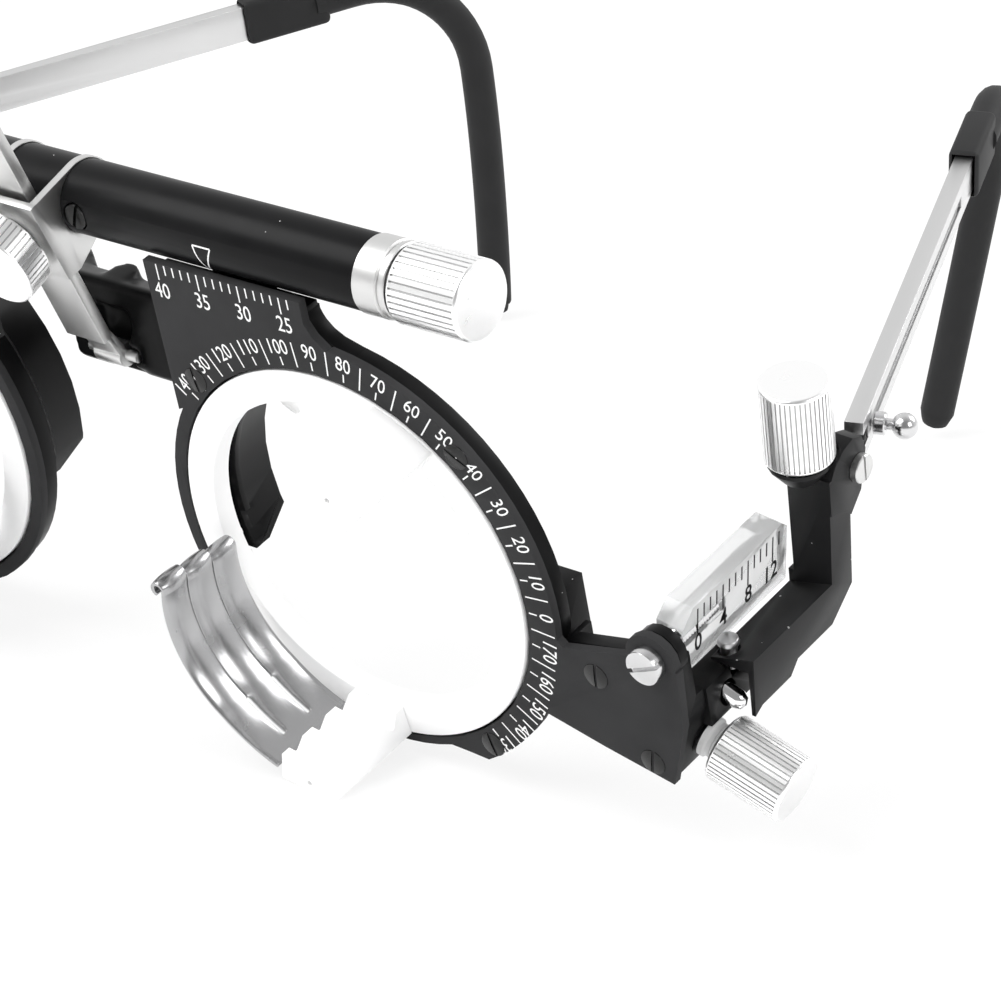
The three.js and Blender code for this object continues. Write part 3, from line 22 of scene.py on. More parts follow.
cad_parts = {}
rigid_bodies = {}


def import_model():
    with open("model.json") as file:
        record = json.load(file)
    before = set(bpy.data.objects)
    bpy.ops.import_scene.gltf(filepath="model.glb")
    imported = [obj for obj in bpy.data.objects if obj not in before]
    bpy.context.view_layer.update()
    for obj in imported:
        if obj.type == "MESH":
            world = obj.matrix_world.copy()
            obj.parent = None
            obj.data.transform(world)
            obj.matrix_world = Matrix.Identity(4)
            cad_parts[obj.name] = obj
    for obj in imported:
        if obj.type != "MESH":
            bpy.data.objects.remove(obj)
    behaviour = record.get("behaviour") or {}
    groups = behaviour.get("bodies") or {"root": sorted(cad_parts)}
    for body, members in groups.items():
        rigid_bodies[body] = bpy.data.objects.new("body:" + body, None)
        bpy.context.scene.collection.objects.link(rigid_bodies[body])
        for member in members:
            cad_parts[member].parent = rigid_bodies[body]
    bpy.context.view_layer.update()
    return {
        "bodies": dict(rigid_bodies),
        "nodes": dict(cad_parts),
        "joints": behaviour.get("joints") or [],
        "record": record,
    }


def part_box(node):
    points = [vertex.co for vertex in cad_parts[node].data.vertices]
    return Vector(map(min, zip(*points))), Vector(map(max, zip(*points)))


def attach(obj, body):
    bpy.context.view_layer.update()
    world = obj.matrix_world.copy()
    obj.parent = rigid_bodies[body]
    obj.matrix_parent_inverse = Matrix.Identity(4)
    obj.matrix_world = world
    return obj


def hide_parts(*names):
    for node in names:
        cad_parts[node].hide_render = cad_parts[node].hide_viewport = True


LOG = logging.getLogger("trial_frame")
MILLIMETRE = 0.001
WELD = 0.002  # points this close merge, in millimetres
Point = Sequence[float]
ORIGIN = (0, 0, 0)
RIGHT, BACK, FRONT, UP = (1, 0, 0), (0, 1, 0), (0, -1, 0), (0, 0, 1)


class Side(Enum):
    """The two sides of the frame, as the viewer of the photograph sees them."""

    RIGHT = "right"
    LEFT = "left"

    @property
    def sign(self) -> int:
        """+1 for the +X side and -1 for the -X side."""
        return 1 if self is Side.RIGHT else -1

    def node(self, piece: str) -> str:
        """The name of a piece's node on this side."""
        return f"{piece}_{self.value}"


class Facing(Enum):
    """The turn that stands a flat outline up, towards the front or towards the side."""

    FRONT = ((1, 0, 0, 0), (0, 0, -1, 0), (0, 1, 0, 0), (0, 0, 0, 1))
    SIDE = ((0, 0, 1, 0), (1, 0, 0, 0), (0, 1, 0, 0), (0, 0, 0, 1))

    def at(self, distance: float) -> Matrix:
        """The turn, moved along the axis that the outline faces."""
        step = (0, distance, 0) if self is Facing.FRONT else (distance, 0, 0)
        return Matrix.Translation(step) @ Matrix(self.value)


# Finishes


class Groups:
    """Shader node groups that several finishes share."""

    TONES_PER_METRE = 260
    SMEARS_PER_METRE = 420
    _made: dict[str, bpy.types.NodeTree] = {}

    @classmethod
    def _new(cls, name: str, inputs: dict[str, float],
             outputs: Iterable[str]) -> bpy.types.NodeTree:
        """Starts a group whose inputs are numbers.

        Args:
            name: The group's name.
            inputs: Each input's name and default value.
            outputs: The names of its number outputs.

        Returns:
            The node tree, with Object coordinates ready in a node named Coordinates.
        """
        tree = bpy.data.node_groups.new(name, "ShaderNodeTree")
        number = "NodeSocketFloat"
        for label, value in inputs.items():
            socket = tree.interface.new_socket(name=label, in_out="INPUT", socket_type=number)
            socket.default_value = value
        for label in outputs:
            tree.interface.new_socket(name=label, in_out="OUTPUT", socket_type=number)
        tree.nodes.new("NodeGroupInput").name = "In"
        tree.nodes.new("NodeGroupOutput").name = "Out"
        tree.nodes.new("ShaderNodeTexCoord").name = "Coordinates"
        cls._made[name] = tree
        return tree

    @classmethod
    def grain(cls) -> bpy.types.NodeTree:
        """Fine moulded or blasted grain with a slow change of tone across the surface.

        Returns:
            A group that puts out a tone, a roughness and a height.
        """
        if "Surface grain" in cls._made:
            return cls._made["Surface grain"]
        tree = cls._new(
            "Surface grain",
            {"Grains per metre": 4000.0, "Tone change": 0.1,
             "Roughness": 0.5, "Roughness change": 0.1},
            ("Tone", "Roughness", "Height"),
        )
        link, new = tree.links.new, tree.nodes.new
        source, target, where = tree.nodes["In"], tree.nodes["Out"], tree.nodes["Coordinates"]
        fine = new("ShaderNodeTexNoise")
        fine.inputs["Detail"].default_value = 3
        link(where.outputs["Object"], fine.inputs["Vector"])
        link(source.outputs["Grains per metre"], fine.inputs["Scale"])
        slow = new("ShaderNodeTexNoise")
        slow.inputs["Scale"].default_value = cls.TONES_PER_METRE
        slow.inputs["Detail"].default_value = 4
        link(where.outputs["Object"], slow.inputs["Vector"])
        tone = new("ShaderNodeMath")
        tone.operation = "SUBTRACT"
        link(slow.outputs["Fac"], tone.inputs[0])
        tone.inputs[1].default_value = 0.5
        spread = new("ShaderNodeMath")
        spread.operation = "MULTIPLY_ADD"
        link(tone.outputs[0], spread.inputs[0])
        link(source.outputs["Tone change"], spread.inputs[1])
        spread.inputs[2].default_value = 0.5
        rough = new("ShaderNodeMath")
        rough.operation = "MULTIPLY_ADD"
        link(tone.outputs[0], rough.inputs[0])
        link(source.outputs["Roughness change"], rough.inputs[1])
        link(source.outputs["Roughness"], rough.inputs[2])
        link(spread.outputs[0], target.inputs["Tone"])
        link(rough.outputs[0], target.inputs["Roughness"])
        link(fine.outputs["Fac"], target.inputs["Height"])
        return tree

    @classmethod
    def handling(cls) -> bpy.types.NodeTree:
        """Hairline scratches and finger marks on polished metal.

        Returns:
            A group that puts out a roughness and a height.
        """
        if "Handling marks" in cls._made:
            return cls._made["Handling marks"]
        tree = cls._new(
            "Handling marks",
            {"Scratches per metre": 900.0, "Stretch": 14.0, "Roughness": 0.1, "Marks": 0.1},
            ("Roughness", "Height"),
        )
        link, new = tree.links.new, tree.nodes.new
        source, target, where = tree.nodes["In"], tree.nodes["Out"], tree.nodes["Coordinates"]
        squeeze = new("ShaderNodeCombineXYZ")
        link(source.outputs["Stretch"], squeeze.inputs["X"])
        squeeze.inputs["Y"].default_value = 1
        link(source.outputs["Stretch"], squeeze.inputs["Z"])
        stretched = new("ShaderNodeVectorMath")
        stretched.operation = "MULTIPLY"
        link(where.outputs["Object"], stretched.inputs[0])
        link(squeeze.outputs[0], stretched.inputs[1])
        lines = new("ShaderNodeTexNoise")
        lines.inputs["Detail"].default_value = 2
        link(stretched.outputs[0], lines.inputs["Vector"])
        link(source.outputs["Scratches per metre"], lines.inputs["Scale"])
        smear = new("ShaderNodeTexNoise")
        smear.inputs["Scale"].default_value = cls.SMEARS_PER_METRE
        smear.inputs["Detail"].default_value = 5
        link(where.outputs["Object"], smear.inputs["Vector"])
        rough = new("ShaderNodeMath")
        rough.operation = "MULTIPLY_ADD"
        link(smear.outputs["Fac"], rough.inputs[0])
        link(source.outputs["Marks"], rough.inputs[1])
        link(source.outputs["Roughness"], rough.inputs[2])
        link(rough.outputs[0], target.inputs["Roughness"])
        link(lines.outputs["Fac"], target.inputs["Height"])
        return tree

    @classmethod
    def dust(cls) -> bpy.types.NodeTree:
        """Scattered pale specks of dust.

        Returns:
            A group that puts out a mask that is 1 on a speck.
        """
        if "Dust specks" in cls._made:
            return cls._made["Dust specks"]
        tree = cls._new("Dust specks", {"Specks per metre": 450.0, "Speck size": 0.06}, ("Mask",))
        link, new = tree.links.new, tree.nodes.new
        source, target, where = tree.nodes["In"], tree.nodes["Out"], tree.nodes["Coordinates"]
        cells = new("ShaderNodeTexVoronoi")
        link(where.outputs["Object"], cells.inputs["Vector"])
        link(source.outputs["Specks per metre"], cells.inputs["Scale"])
        cells.inputs["Randomness"].default_value = 1
        speck = new("ShaderNodeMath")
        speck.operation = "LESS_THAN"
        link(cells.outputs["Distance"], speck.inputs[0])
        link(source.outputs["Speck size"], speck.inputs[1])
        link(speck.outputs[0], target.inputs["Mask"])
        return tree


@dataclass(frozen=True)
class Finish:
    """A finish of one sort: the values that its shader is built from."""

    name: str
    color: tuple[float, float, float]
    roughness: float
    metallic: float = 0.0
    specular: float = 0.5
    coat: float = 0.0

    def start(self) -> tuple[bpy.types.Material, bpy.types.NodeTree, bpy.types.Node]:
        """Makes the material and its principled shader.

        Returns:
            The material, its node tree and the shader node.
        """
        material = bpy.data.materials.new(self.name)
        material.use_nodes = True
        tree = material.node_tree
        shader = tree.nodes["Principled BSDF"]
        shader.inputs["Base Color"].default_value = (*self.color, 1)
        shader.inputs["Roughness"].default_value = self.roughness
        shader.inputs["Metallic"].default_value = self.metallic
        shader.inputs["Specular IOR Level"].default_value = self.specular
        shader.inputs["Coat Weight"].default_value = self.coat
        return material, tree, shader

    def group(self, tree: bpy.types.NodeTree, group: bpy.types.NodeTree,
              **values: float) -> bpy.types.Node:
        """Places a shared group and sets its inputs.

        Args:
            tree: The material's tree.
            group: The shared group.
            **values: Input values, with underscores for spaces.

        Returns:
            The group's node.
        """
        node = tree.nodes.new("ShaderNodeGroup")
        node.node_tree = group
        for label, value in values.items():
            node.inputs[label.replace("_", " ").capitalize()].default_value = value
        return node

    def bump(self, tree: bpy.types.NodeTree, height: bpy.types.NodeSocket, shader: bpy.types.Node,
             strength: float, distance: float) -> None:
        """Feeds a height to the shader's normal.

        Args:
            tree: The material's tree.
            height: The height's socket.
            shader: The principled shader.
            strength: The bump's strength.
            distance: The bump's depth in metres.
        """
        node = tree.nodes.new("ShaderNodeBump")
        node.inputs["Strength"].default_value = strength
        node.inputs["Distance"].default_value = distance
        tree.links.new(height, node.inputs["Height"])
        tree.links.new(node.outputs["Normal"], shader.inputs["Normal"])


@dataclass(frozen=True)
class Grained(Finish):
    """Moulded plastic, paint or anodising: grain, a slow change of tone and some dust."""

    grains: float = 4000.0
    depth: float = 0.00001
    strength: float = 0.3
    tone_change: float = 0.25
    roughness_change: float = 0.15
    dust: float = 0.0
    dust_color: tuple[float, float, float] = (0.5, 0.5, 0.5)

    def material(self) -> bpy.types.Material:
        """Builds the material.

        Returns:
            The material.
        """
        material, tree, shader = self.start()
        grain = self.group(
            tree, Groups.grain(), Tone_change=1.0, Roughness=self.roughness,
            Roughness_change=self.roughness_change,
        )
        grain.inputs["Grains per metre"].default_value = self.grains
        ramp = tree.nodes.new("ShaderNodeMix")
        ramp.data_type = "RGBA"
        dark = tuple(value * (1 - self.tone_change) for value in self.color)
        light = tuple(min(1.0, value * (1 + self.tone_change)) for value in self.color)
        ramp.inputs["A"].default_value = (*dark, 1)
        ramp.inputs["B"].default_value = (*light, 1)
        tree.links.new(grain.outputs["Tone"], ramp.inputs["Factor"])
        color = ramp.outputs["Result"]
        if self.dust:
            specks = self.group(tree, Groups.dust())
            specks.inputs["Speck size"].default_value = self.dust
            dusted = tree.nodes.new("ShaderNodeMix")
            dusted.data_type = "RGBA"
            dusted.inputs["B"].default_value = (*self.dust_color, 1)
            tree.links.new(specks.outputs["Mask"], dusted.inputs["Factor"])
            tree.links.new(color, dusted.inputs["A"])
            color = dusted.outputs["Result"]
        tree.links.new(color, shader.inputs["Base Color"])
        tree.links.new(grain.outputs["Roughness"], shader.inputs["Roughness"])
        self.bump(tree, grain.outputs["Height"], shader, self.strength, self.depth)
        return material


@dataclass(frozen=True)
class Plated(Finish):
    """Plated or turned metal with hairlines and finger marks."""

    scratches: float = 900.0
    stretch: float = 14.0
    marks: float = 0.1
    strength: float = 0.1
    depth: float = 0.000004

    def material(self) -> bpy.types.Material:
        """Builds the material.

        Returns:
            The material.
        """
        material, tree, shader = self.start()
        handling = self.group(tree, Groups.handling(), Stretch=self.stretch,
                              Roughness=self.roughness, Marks=self.marks)
        handling.inputs["Scratches per metre"].default_value = self.scratches
        tree.links.new(handling.outputs["Roughness"], shader.inputs["Roughness"])
        self.bump(tree, handling.outputs["Height"], shader, self.strength, self.depth)
        return material


@dataclass(frozen=True)
class Clear(Finish):
    """Clear acrylic that the light passes through."""

    ior: float = 1.38
    clearness: float = 0.72
    stretch: float = 3.0
    marks: float = 0.05
    strength: float = 0.05
    depth: float = 0.000004

    def material(self) -> bpy.types.Material:
        """Builds the material.

        Returns:
            The material.
        """
        material, tree, shader = self.start()
        shader.inputs["Transmission Weight"].default_value = self.clearness
        shader.inputs["IOR"].default_value = self.ior
        handling = self.group(tree, Groups.handling(), Stretch=self.stretch,
                              Roughness=self.roughness, Marks=self.marks)
        tree.links.new(handling.outputs["Roughness"], shader.inputs["Roughness"])
        self.bump(tree, handling.outputs["Height"], shader, self.strength, self.depth)
        return material


class Shade(Enum):
    """Every finish on the frame, with the record's material slot that it belongs to."""

    ANODISED = ("anodised", Grained(
        "satin black anodised", (0.0062, 0.0062, 0.0066), 0.34, specular=0.1,
        grains=9000, strength=0.1, dust=0.028))
    PLATE = ("plate", Grained(
        "matte dark grey plate", (0.034, 0.034, 0.035), 0.65, specular=0.075,
        grains=7000, strength=0.2))
    SMOOTH_MOULDED = ("moulding", Grained(
        "smooth black moulding", (0.0052, 0.0052, 0.0055), 0.34, specular=0.1,
        grains=2500, strength=0.12, dust=0.028))
    BRACKET = ("moulding", Grained(
        "satin black bracket", (0.0085, 0.0085, 0.009), 0.42, specular=0.18,
        grains=5000, strength=0.3, dust=0.045))
    TIP = ("moulding", Grained(
        "matte black ear hook", (0.02, 0.02, 0.0205), 0.6, specular=0.15,
        grains=5000, strength=0.3))
    WHITE = ("white", Grained(
        "white resin", (0.93, 0.93, 0.93), 0.45, specular=0.3,
        grains=2500, strength=0.05, tone_change=0.02))
    CHROME = ("chrome", Plated(
        "polished chrome", (0.84, 0.84, 0.845), 0.05, metallic=1, marks=0.08))
    SPRING = ("chrome", Plated("sprung steel", (0.4, 0.4, 0.405), 0.17, metallic=1, marks=0.16))
    TURNED = ("chrome", Plated("turned chrome", (0.6, 0.6, 0.605), 0.15, metallic=1, marks=0.1))
    KNOB = ("knob", Plated("bright satin plate", (0.96, 0.96, 0.96), 0.24, metallic=1, marks=0.1))
    # Painted shade: the knobs' grooves take this darker plate so that they look shaded, not because
    # their plating differs.
    GROOVE = ("knob", Plated(
        "painted shade in the grooves", (0.42, 0.42, 0.42), 0.34, metallic=1, marks=0.1))
    NICKEL = ("nickel", Plated(
        "satin nickel plate", (0.62, 0.62, 0.615), 0.3, metallic=1, marks=0.12, strength=0.12))
    STEEL = ("steel", Plated("turned steel", (0.5, 0.5, 0.505), 0.3, metallic=1, marks=0.12))
    CHANNEL = ("knob", Plated("satin channel", (0.6, 0.6, 0.6), 0.28, metallic=1, marks=0.12))
    CLEAR = ("clear", Clear("clear acrylic", (0.97, 0.975, 0.975), 0.02))
    SILICONE = ("silicone", Grained(
        "pale silicone", (0.86, 0.86, 0.855), 0.55,
        grains=2000, strength=0.1, tone_change=0.05))
    WHITE_INK = ("white", Grained(
        "white print", (0.86, 0.86, 0.86), 0.6, grains=6000, strength=0.05, tone_change=0.06))
    BLACK_INK = ("moulding", Grained(
        "black print", (0.006, 0.006, 0.006), 0.6, specular=0.1, grains=6000, strength=0.05))
    BLACK_SCREW = ("anodised", Grained(
        "blackened screw", (0.004, 0.004, 0.004), 0.22, specular=0.36,
        grains=6000, strength=0.05))

    def __init__(self, slot: str, finish: Finish) -> None:
        """Keeps a member's values.

        Args:
            slot: The record's material slot.
            finish: The finish.
        """
        self.slot = slot
        self.finish = finish
        self.made: bpy.types.Material | None = None

    def material(self) -> bpy.types.Material:
        """The finish's material, built the first time it is asked for.

        Returns:
            The material.
        """
        if self.made is None:
            self.made = self.finish.material()
        return self.made


# Modelling


class Bench:
    """A maker's bench: Blender's own operators, each leaving one mesh on the bench."""

    @staticmethod
    def clear() -> None:
        """Leaves edit mode and selects nothing."""
        if bpy.context.object and bpy.context.object.mode != "OBJECT":
            bpy.ops.object.mode_set(mode="OBJECT")
        bpy.ops.object.select_all(action="DESELECT")

    @staticmethod
    def pick(*pieces: bpy.types.Object) -> bpy.types.Object:
        """Selects pieces alone and makes the first one active.

        Args:
            *pieces: The pieces.

        Returns:
            The first one.
        """
        Bench.clear()
        for piece in pieces:
            piece.select_set(True)
        bpy.context.view_layer.objects.active = pieces[0]
        return pieces[0]

    @staticmethod
    def select_in(piece: bpy.types.Object, kind: str, wanted: Sequence[bool]) -> None:
        """Enters edit mode with some edges or faces selected alone.

        Args:
            piece: The mesh.
            kind: "EDGE" or "FACE".
            wanted: Whether each edge or face is selected.
        """
        Bench.pick(piece)
        bpy.ops.object.mode_set(mode="EDIT")
        bpy.ops.mesh.select_mode(type=kind)
        bpy.ops.mesh.select_all(action="DESELECT")
        bpy.ops.object.mode_set(mode="OBJECT")
        items = piece.data.edges if kind == "EDGE" else piece.data.polygons
        for item, want in zip(items, wanted):
            item.select = want
        bpy.ops.object.mode_set(mode="EDIT")

    @staticmethod
    def apply_place(piece: bpy.types.Object) -> bpy.types.Object:
        """Puts a piece's place, turn and scale into its mesh.

        Args:
            piece: The mesh.

        Returns:
            The same mesh.
        """
        Bench.pick(piece)
        bpy.ops.object.transform_apply(location=True, rotation=True, scale=True)
        return piece

    @staticmethod
    def tidy(piece: bpy.types.Object, weld: float = WELD) -> bpy.types.Object:
        """Merges doubles and turns the faces outwards.

        Args:
            piece: The mesh.
            weld: The distance at which points merge, in millimetres.

        Returns:
            The same mesh.
        """
        Bench.pick(piece)
        bpy.ops.object.mode_set(mode="EDIT")
        bpy.ops.mesh.select_all(action="SELECT")
        bpy.ops.mesh.remove_doubles(threshold=weld)
        bpy.ops.mesh.normals_make_consistent(inside=False)
        bpy.ops.object.mode_set(mode="OBJECT")
        return piece

    @staticmethod
    def block(low: Point, high: Point) -> bpy.types.Object:
        """A block between two corners.

        Args:
            low: Its lowest corner.
            high: Its highest corner.

        Returns:
            The mesh.
        """
        Bench.clear()
        middle = [(a + b) / 2 for a, b in zip(low, high)]
        size = [b - a for a, b in zip(low, high)]
        bpy.ops.mesh.primitive_cube_add(size=1, location=middle, scale=size)
        return Bench.apply_place(bpy.context.object)

    @staticmethod
    def along(piece: bpy.types.Object, start: Point, direction: Point) -> bpy.types.Object:
        """Turns a piece drawn up the Z axis to another line.

        Args:
            piece: The mesh, drawn from the origin up.
            start: Where the origin goes.
            direction: Where Z goes.

        Returns:
            The same mesh.
        """
        turn = Vector(UP).rotation_difference(Vector(direction).normalized())
        piece.matrix_world = Matrix.Translation(Vector(start)) @ turn.to_matrix().to_4x4()
        return Bench.apply_place(piece)

    @staticmethod
    def rod(start: Point, direction: Point, length: float, radius: float,
            sides: int = 48) -> bpy.types.Object:
        """A round bar from one point along a direction.

        Args:
            start: The middle of its first end.
            direction: Where it points.
            length: Its length.
            radius: Its radius.
            sides: The number of faces round it.

        Returns:
            The mesh.
        """
        Bench.clear()
        bpy.ops.mesh.primitive_cylinder_add(
            vertices=sides, radius=radius, depth=length, location=(0, 0, length / 2),
        )
        return Bench.along(Bench.apply_place(bpy.context.object), start, direction)

    @staticmethod
    def turned(profile: Sequence[Point], start: Point, direction: Point,
               sides: int = 64) -> bpy.types.Object:
        """A turned piece: an edge chain is extruded point by point and spun.

        Args:
            profile: Radius and distance along the axis of each point.
            start: Where the axis starts.
            direction: Where the axis points.
            sides: The number of steps in the spin.

        Returns:
            The turned mesh.
        """
        Bench.clear()
        bpy.ops.mesh.primitive_plane_add(size=1, location=ORIGIN)
        piece = bpy.context.object
        bpy.ops.object.mode_set(mode="EDIT")
        bpy.ops.mesh.select_mode(type="VERT")
        bpy.ops.mesh.merge(type="CENTER")
        bpy.ops.transform.translate(value=(profile[0][0], 0, profile[0][1]))
        for before, after in zip(profile, profile[1:]):
            step = (after[0] - before[0], 0, after[1] - before[1])
            bpy.ops.mesh.extrude_region_move(TRANSFORM_OT_translate={"value": step})
        bpy.ops.mesh.select_all(action="SELECT")
        bpy.ops.mesh.spin(steps=sides, angle=2 * math.pi, center=ORIGIN, axis=UP)
        bpy.ops.object.mode_set(mode="OBJECT")
        return Bench.along(Bench.tidy(piece), start, direction)

    @staticmethod
    def flat(loops: Sequence[Sequence[Point]], low: float, high: float,
             facing: Facing) -> bpy.types.Object:
        """A flat piece cut from sheet: a filled curve with a thickness.

        Args:
            loops: The outline and any holes, each a list of points in millimetres.
            low: Where the thickness starts, on the axis that the outline faces.
            high: Where it ends.
            facing: FRONT for an outline in X and Z, SIDE for one in Y and Z.

        Returns:
            The mesh.
        """
        Bench.clear()
        curve = bpy.data.curves.new("sheet", "CURVE")
        curve.dimensions = "2D"
        curve.fill_mode = "BOTH"
        curve.extrude = (high - low) / 2
        for loop in loops:
            spline = curve.splines.new("POLY")
            spline.points.add(len(loop) - 1)
            for point, (x, y) in zip(spline.points, loop):
                point.co = (x, y, 0, 1)
            spline.use_cyclic_u = True
        piece = bpy.data.objects.new("sheet", curve)
        bpy.context.collection.objects.link(piece)
        Bench.pick(piece)
        bpy.ops.object.convert(target="MESH")
        piece = bpy.context.object
        piece.matrix_world = facing.at((low + high) / 2)
        return Bench.tidy(Bench.apply_place(piece))

    @staticmethod
    def modify(piece: bpy.types.Object, kind: str, **settings: object) -> bpy.types.Object:
        """Adds a modifier, sets it and applies it.

        Args:
            piece: The mesh.
            kind: The modifier's type.
            **settings: The modifier's own settings.

        Returns:
            The same mesh.
        """
        Bench.pick(piece)
        modifier = piece.modifiers.new(kind.lower(), kind)
        for name, value in settings.items():
            setattr(modifier, name, value)
        bpy.ops.object.modifier_apply(modifier=modifier.name)
        return piece

    @staticmethod
    def unite(piece: bpy.types.Object, *others: bpy.types.Object) -> bpy.types.Object:
        """Joins solids into one body.

        Args:
            piece: The body.
            *others: The solids that join it.

        Returns:
            The body.
        """
        for other in others:
            Bench.modify(piece, "BOOLEAN", operation="UNION", solver="MANIFOLD", object=other)
            bpy.data.objects.remove(other)
        return piece

    @staticmethod
    def carve(piece: bpy.types.Object, *others: bpy.types.Object) -> bpy.types.Object:
        """Cuts solids out of a body.

        Args:
            piece: The body.
            *others: The solids that are cut out.

        Returns:
            The body.
        """
        for other in others:
            Bench.modify(piece, "BOOLEAN", operation="DIFFERENCE", solver="MANIFOLD", object=other)
            bpy.data.objects.remove(other)
        return piece

    @staticmethod
    def merge(*pieces: bpy.types.Object) -> bpy.types.Object:
        """Puts several meshes in one object.

        Args:
            *pieces: The meshes.

        Returns:
            The object that holds them all.
        """
        Bench.pick(*pieces)
        if len(pieces) > 1:
            bpy.ops.object.join()
        return bpy.context.object

    @staticmethod
    def soften(piece: bpy.types.Object, width: float, segments: int = 2, angle: float = 32,
               weld: float = WELD) -> bpy.types.Object:
        """Breaks the sharp edges and shades the rest smooth.

        Args:
            piece: The mesh.
            width: The width of the broken edge, in the mesh's unit.
            segments: The number of steps across it.
            angle: The least angle, in degrees, of an edge that is broken.
            weld: The distance at which points merge first.

        Returns:
            The same mesh.
        """
        Bench.pick(piece)
        bpy.ops.object.mode_set(mode="EDIT")
        bpy.ops.mesh.select_all(action="SELECT")
        bpy.ops.mesh.remove_doubles(threshold=weld)
        bpy.ops.mesh.dissolve_limited(angle_limit=math.radians(1))
        bpy.ops.object.mode_set(mode="OBJECT")
        Bench.modify(
            piece, "BEVEL", width=width, segments=segments, limit_method="ANGLE",
            angle_limit=math.radians(angle), miter_outer="MITER_ARC",
        )
        return Bench.smooth(piece, angle)

    @staticmethod
    def smooth(piece: bpy.types.Object, angle: float = 32) -> bpy.types.Object:
        """Shades a piece smooth where its faces meet at less than an angle.

        Args:
            piece: The mesh.
            angle: The angle, in degrees.

        Returns:
            The same mesh.
        """
        Bench.pick(piece)
        bpy.ops.object.shade_smooth_by_angle(angle=math.radians(angle))
        return piece

    @staticmethod
    def lettering(text: str, size: float, place: Matrix, lift: float, squeeze: float = 1.0,
                  bold: float = 0.0) -> bpy.types.Object:
        """Figures printed on a face.

        Args:
            text: The figures.
            size: Their height on the body, in millimetres.
            place: The middle of the text, with its reading direction and its up direction.
            lift: The thickness of the ink.
            squeeze: How narrow the figures are.
            bold: How much their strokes grow.

        Returns:
            The mesh.
        """
        Bench.clear()
        bpy.ops.object.text_add()
        piece = bpy.context.object
        piece.data.body = text
        piece.data.size = size
        piece.data.align_x = "CENTER"
        piece.data.align_y = "CENTER"
        piece.data.extrude = lift
        piece.data.resolution_u = 3
        piece.data.offset = bold
        bpy.ops.object.convert(target="MESH")
        piece = bpy.context.object
        piece.matrix_world = place @ Matrix.Diagonal((squeeze, 1, 1, 1))
        return Bench.apply_place(piece)


@dataclass(frozen=True)
class Place:
    """A sub-assembly's own axes: millimetres in, metres in the row frame out."""

    matrix: Matrix

    def shifted(self, *steps: Matrix) -> Place:
        """A place reached from this one by further steps.

        Args:
            *steps: The further steps, in order.

        Returns:
            The place.
        """
        matrix = self.matrix.copy()
        for step in steps:
            matrix = matrix @ step
        return Place(matrix)

    def inward(self, direction: Point) -> Vector:
        """A direction of the row frame, seen from this place."""
        return (self.matrix.to_3x3().inverted() @ Vector(direction)).normalized()


class Layout:
    """Works out every sub-assembly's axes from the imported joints."""

    bracket_pivot: tuple[float, float, float] = (38.6, 0.0, -6.0)
    tilt_pin: tuple[float, float, float] = (0.0, 24.6, 6.5)
    fold_post: tuple[float, float, float] = (37.5, 28.9, 6.7)
    hook_roll: dict[Side, float] = {Side.RIGHT: 9.2, Side.LEFT: -3.0}

    def __init__(self, frame: dict) -> None:
        """Reads the joints.
        """
        self.joints = {joint["name"]: joint for joint in frame["joints"]}
        lens = self.joints["lens_turn_right"]
        self.lean = math.atan2(-lens["axis"][2], -lens["axis"][1])
        low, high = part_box("crossbar_tube")
        middle = Vector(((low.x + high.x) / 2, lens["pos_m"][1], lens["pos_m"][2]))
        unit = Matrix.Scale(MILLIMETRE, 4)
        self.bridge = Place(Matrix.Translation(middle) @ Matrix.Rotation(self.lean, 4, "X") @ unit)

    def _about(self, point: Point, turn: Matrix) -> Matrix:
        """A turn about a point."""
        return Matrix.Translation(Vector(point)) @ turn @ Matrix.Translation(-Vector(point))

    def half(self, side: Side) -> Place:
        """The bridge's axes for pieces drawn on the +X side, mirrored for the other."""
        return self.bridge.shifted(Matrix.Diagonal((side.sign, 1, 1, 1)))

    def cell(self, side: Side) -> Place:
        """A lens cell's axes: the lens centre on the front of the plate.

        Args:
            side: Which side.

        Returns:
            The cell's place.
        """
        centre = Vector(self.joints[f"lens_turn_{side.value}"]["pos_m"])
        unit = Matrix.Scale(MILLIMETRE, 4)
        lean = Matrix.Rotation(self.lean, 4, "X")
        mirror = Matrix.Diagonal((side.sign, 1, 1, 1))
        return Place(Matrix.Translation(centre) @ lean @ unit @ mirror)

    def bracket(self, side: Side) -> Place:
        """The temple bracket's axes, which lean about its foot.

        Args:
            side: Which side.

        Returns:
            The bracket's place.
        """
        cell = self.cell(side)
        up = cell.inward(self.joints[f"tilt_screw_{side.value}"]["axis"])
        turn = Matrix.Rotation(math.atan2(up.x, up.z), 4, "Y")
        return cell.shifted(self._about(self.bracket_pivot, turn))

    def link(self, side: Side) -> Place:
        """The rocking link's axes.

        Args:
            side: Which side.

        Returns:
            The link's place.
        """
        bracket = self.bracket(side)
        up = bracket.inward(self.joints[f"temple_fold_{side.value}"]["axis"]) * side.sign
        turn = Matrix.Rotation(math.atan2(-up.y, up.z), 4, "X")
        return bracket.shifted(self._about(self.tilt_pin, turn))

    def temple(self, side: Side) -> Place:
        """The temple's axes: Y along the bar from its fold post.

        Args:
            side: Which side.

        Returns:
            The temple's place.
        """
        link = self.link(side)
        back = link.inward(self.joints[f"temple_length_{side.value}"]["axis"])
        turn = Matrix.Rotation(math.atan2(-back.x, back.y), 4, "Z")
        return link.shifted(Matrix.Translation(Vector(self.fold_post)), turn)

    def hook(self, side: Side) -> Place:
        """The ear hook's axes, rolled about the bar."""
        roll = Matrix.Rotation(math.radians(self.hook_roll[side]), 4, "Y")
        return self.temple(side).shifted(roll)


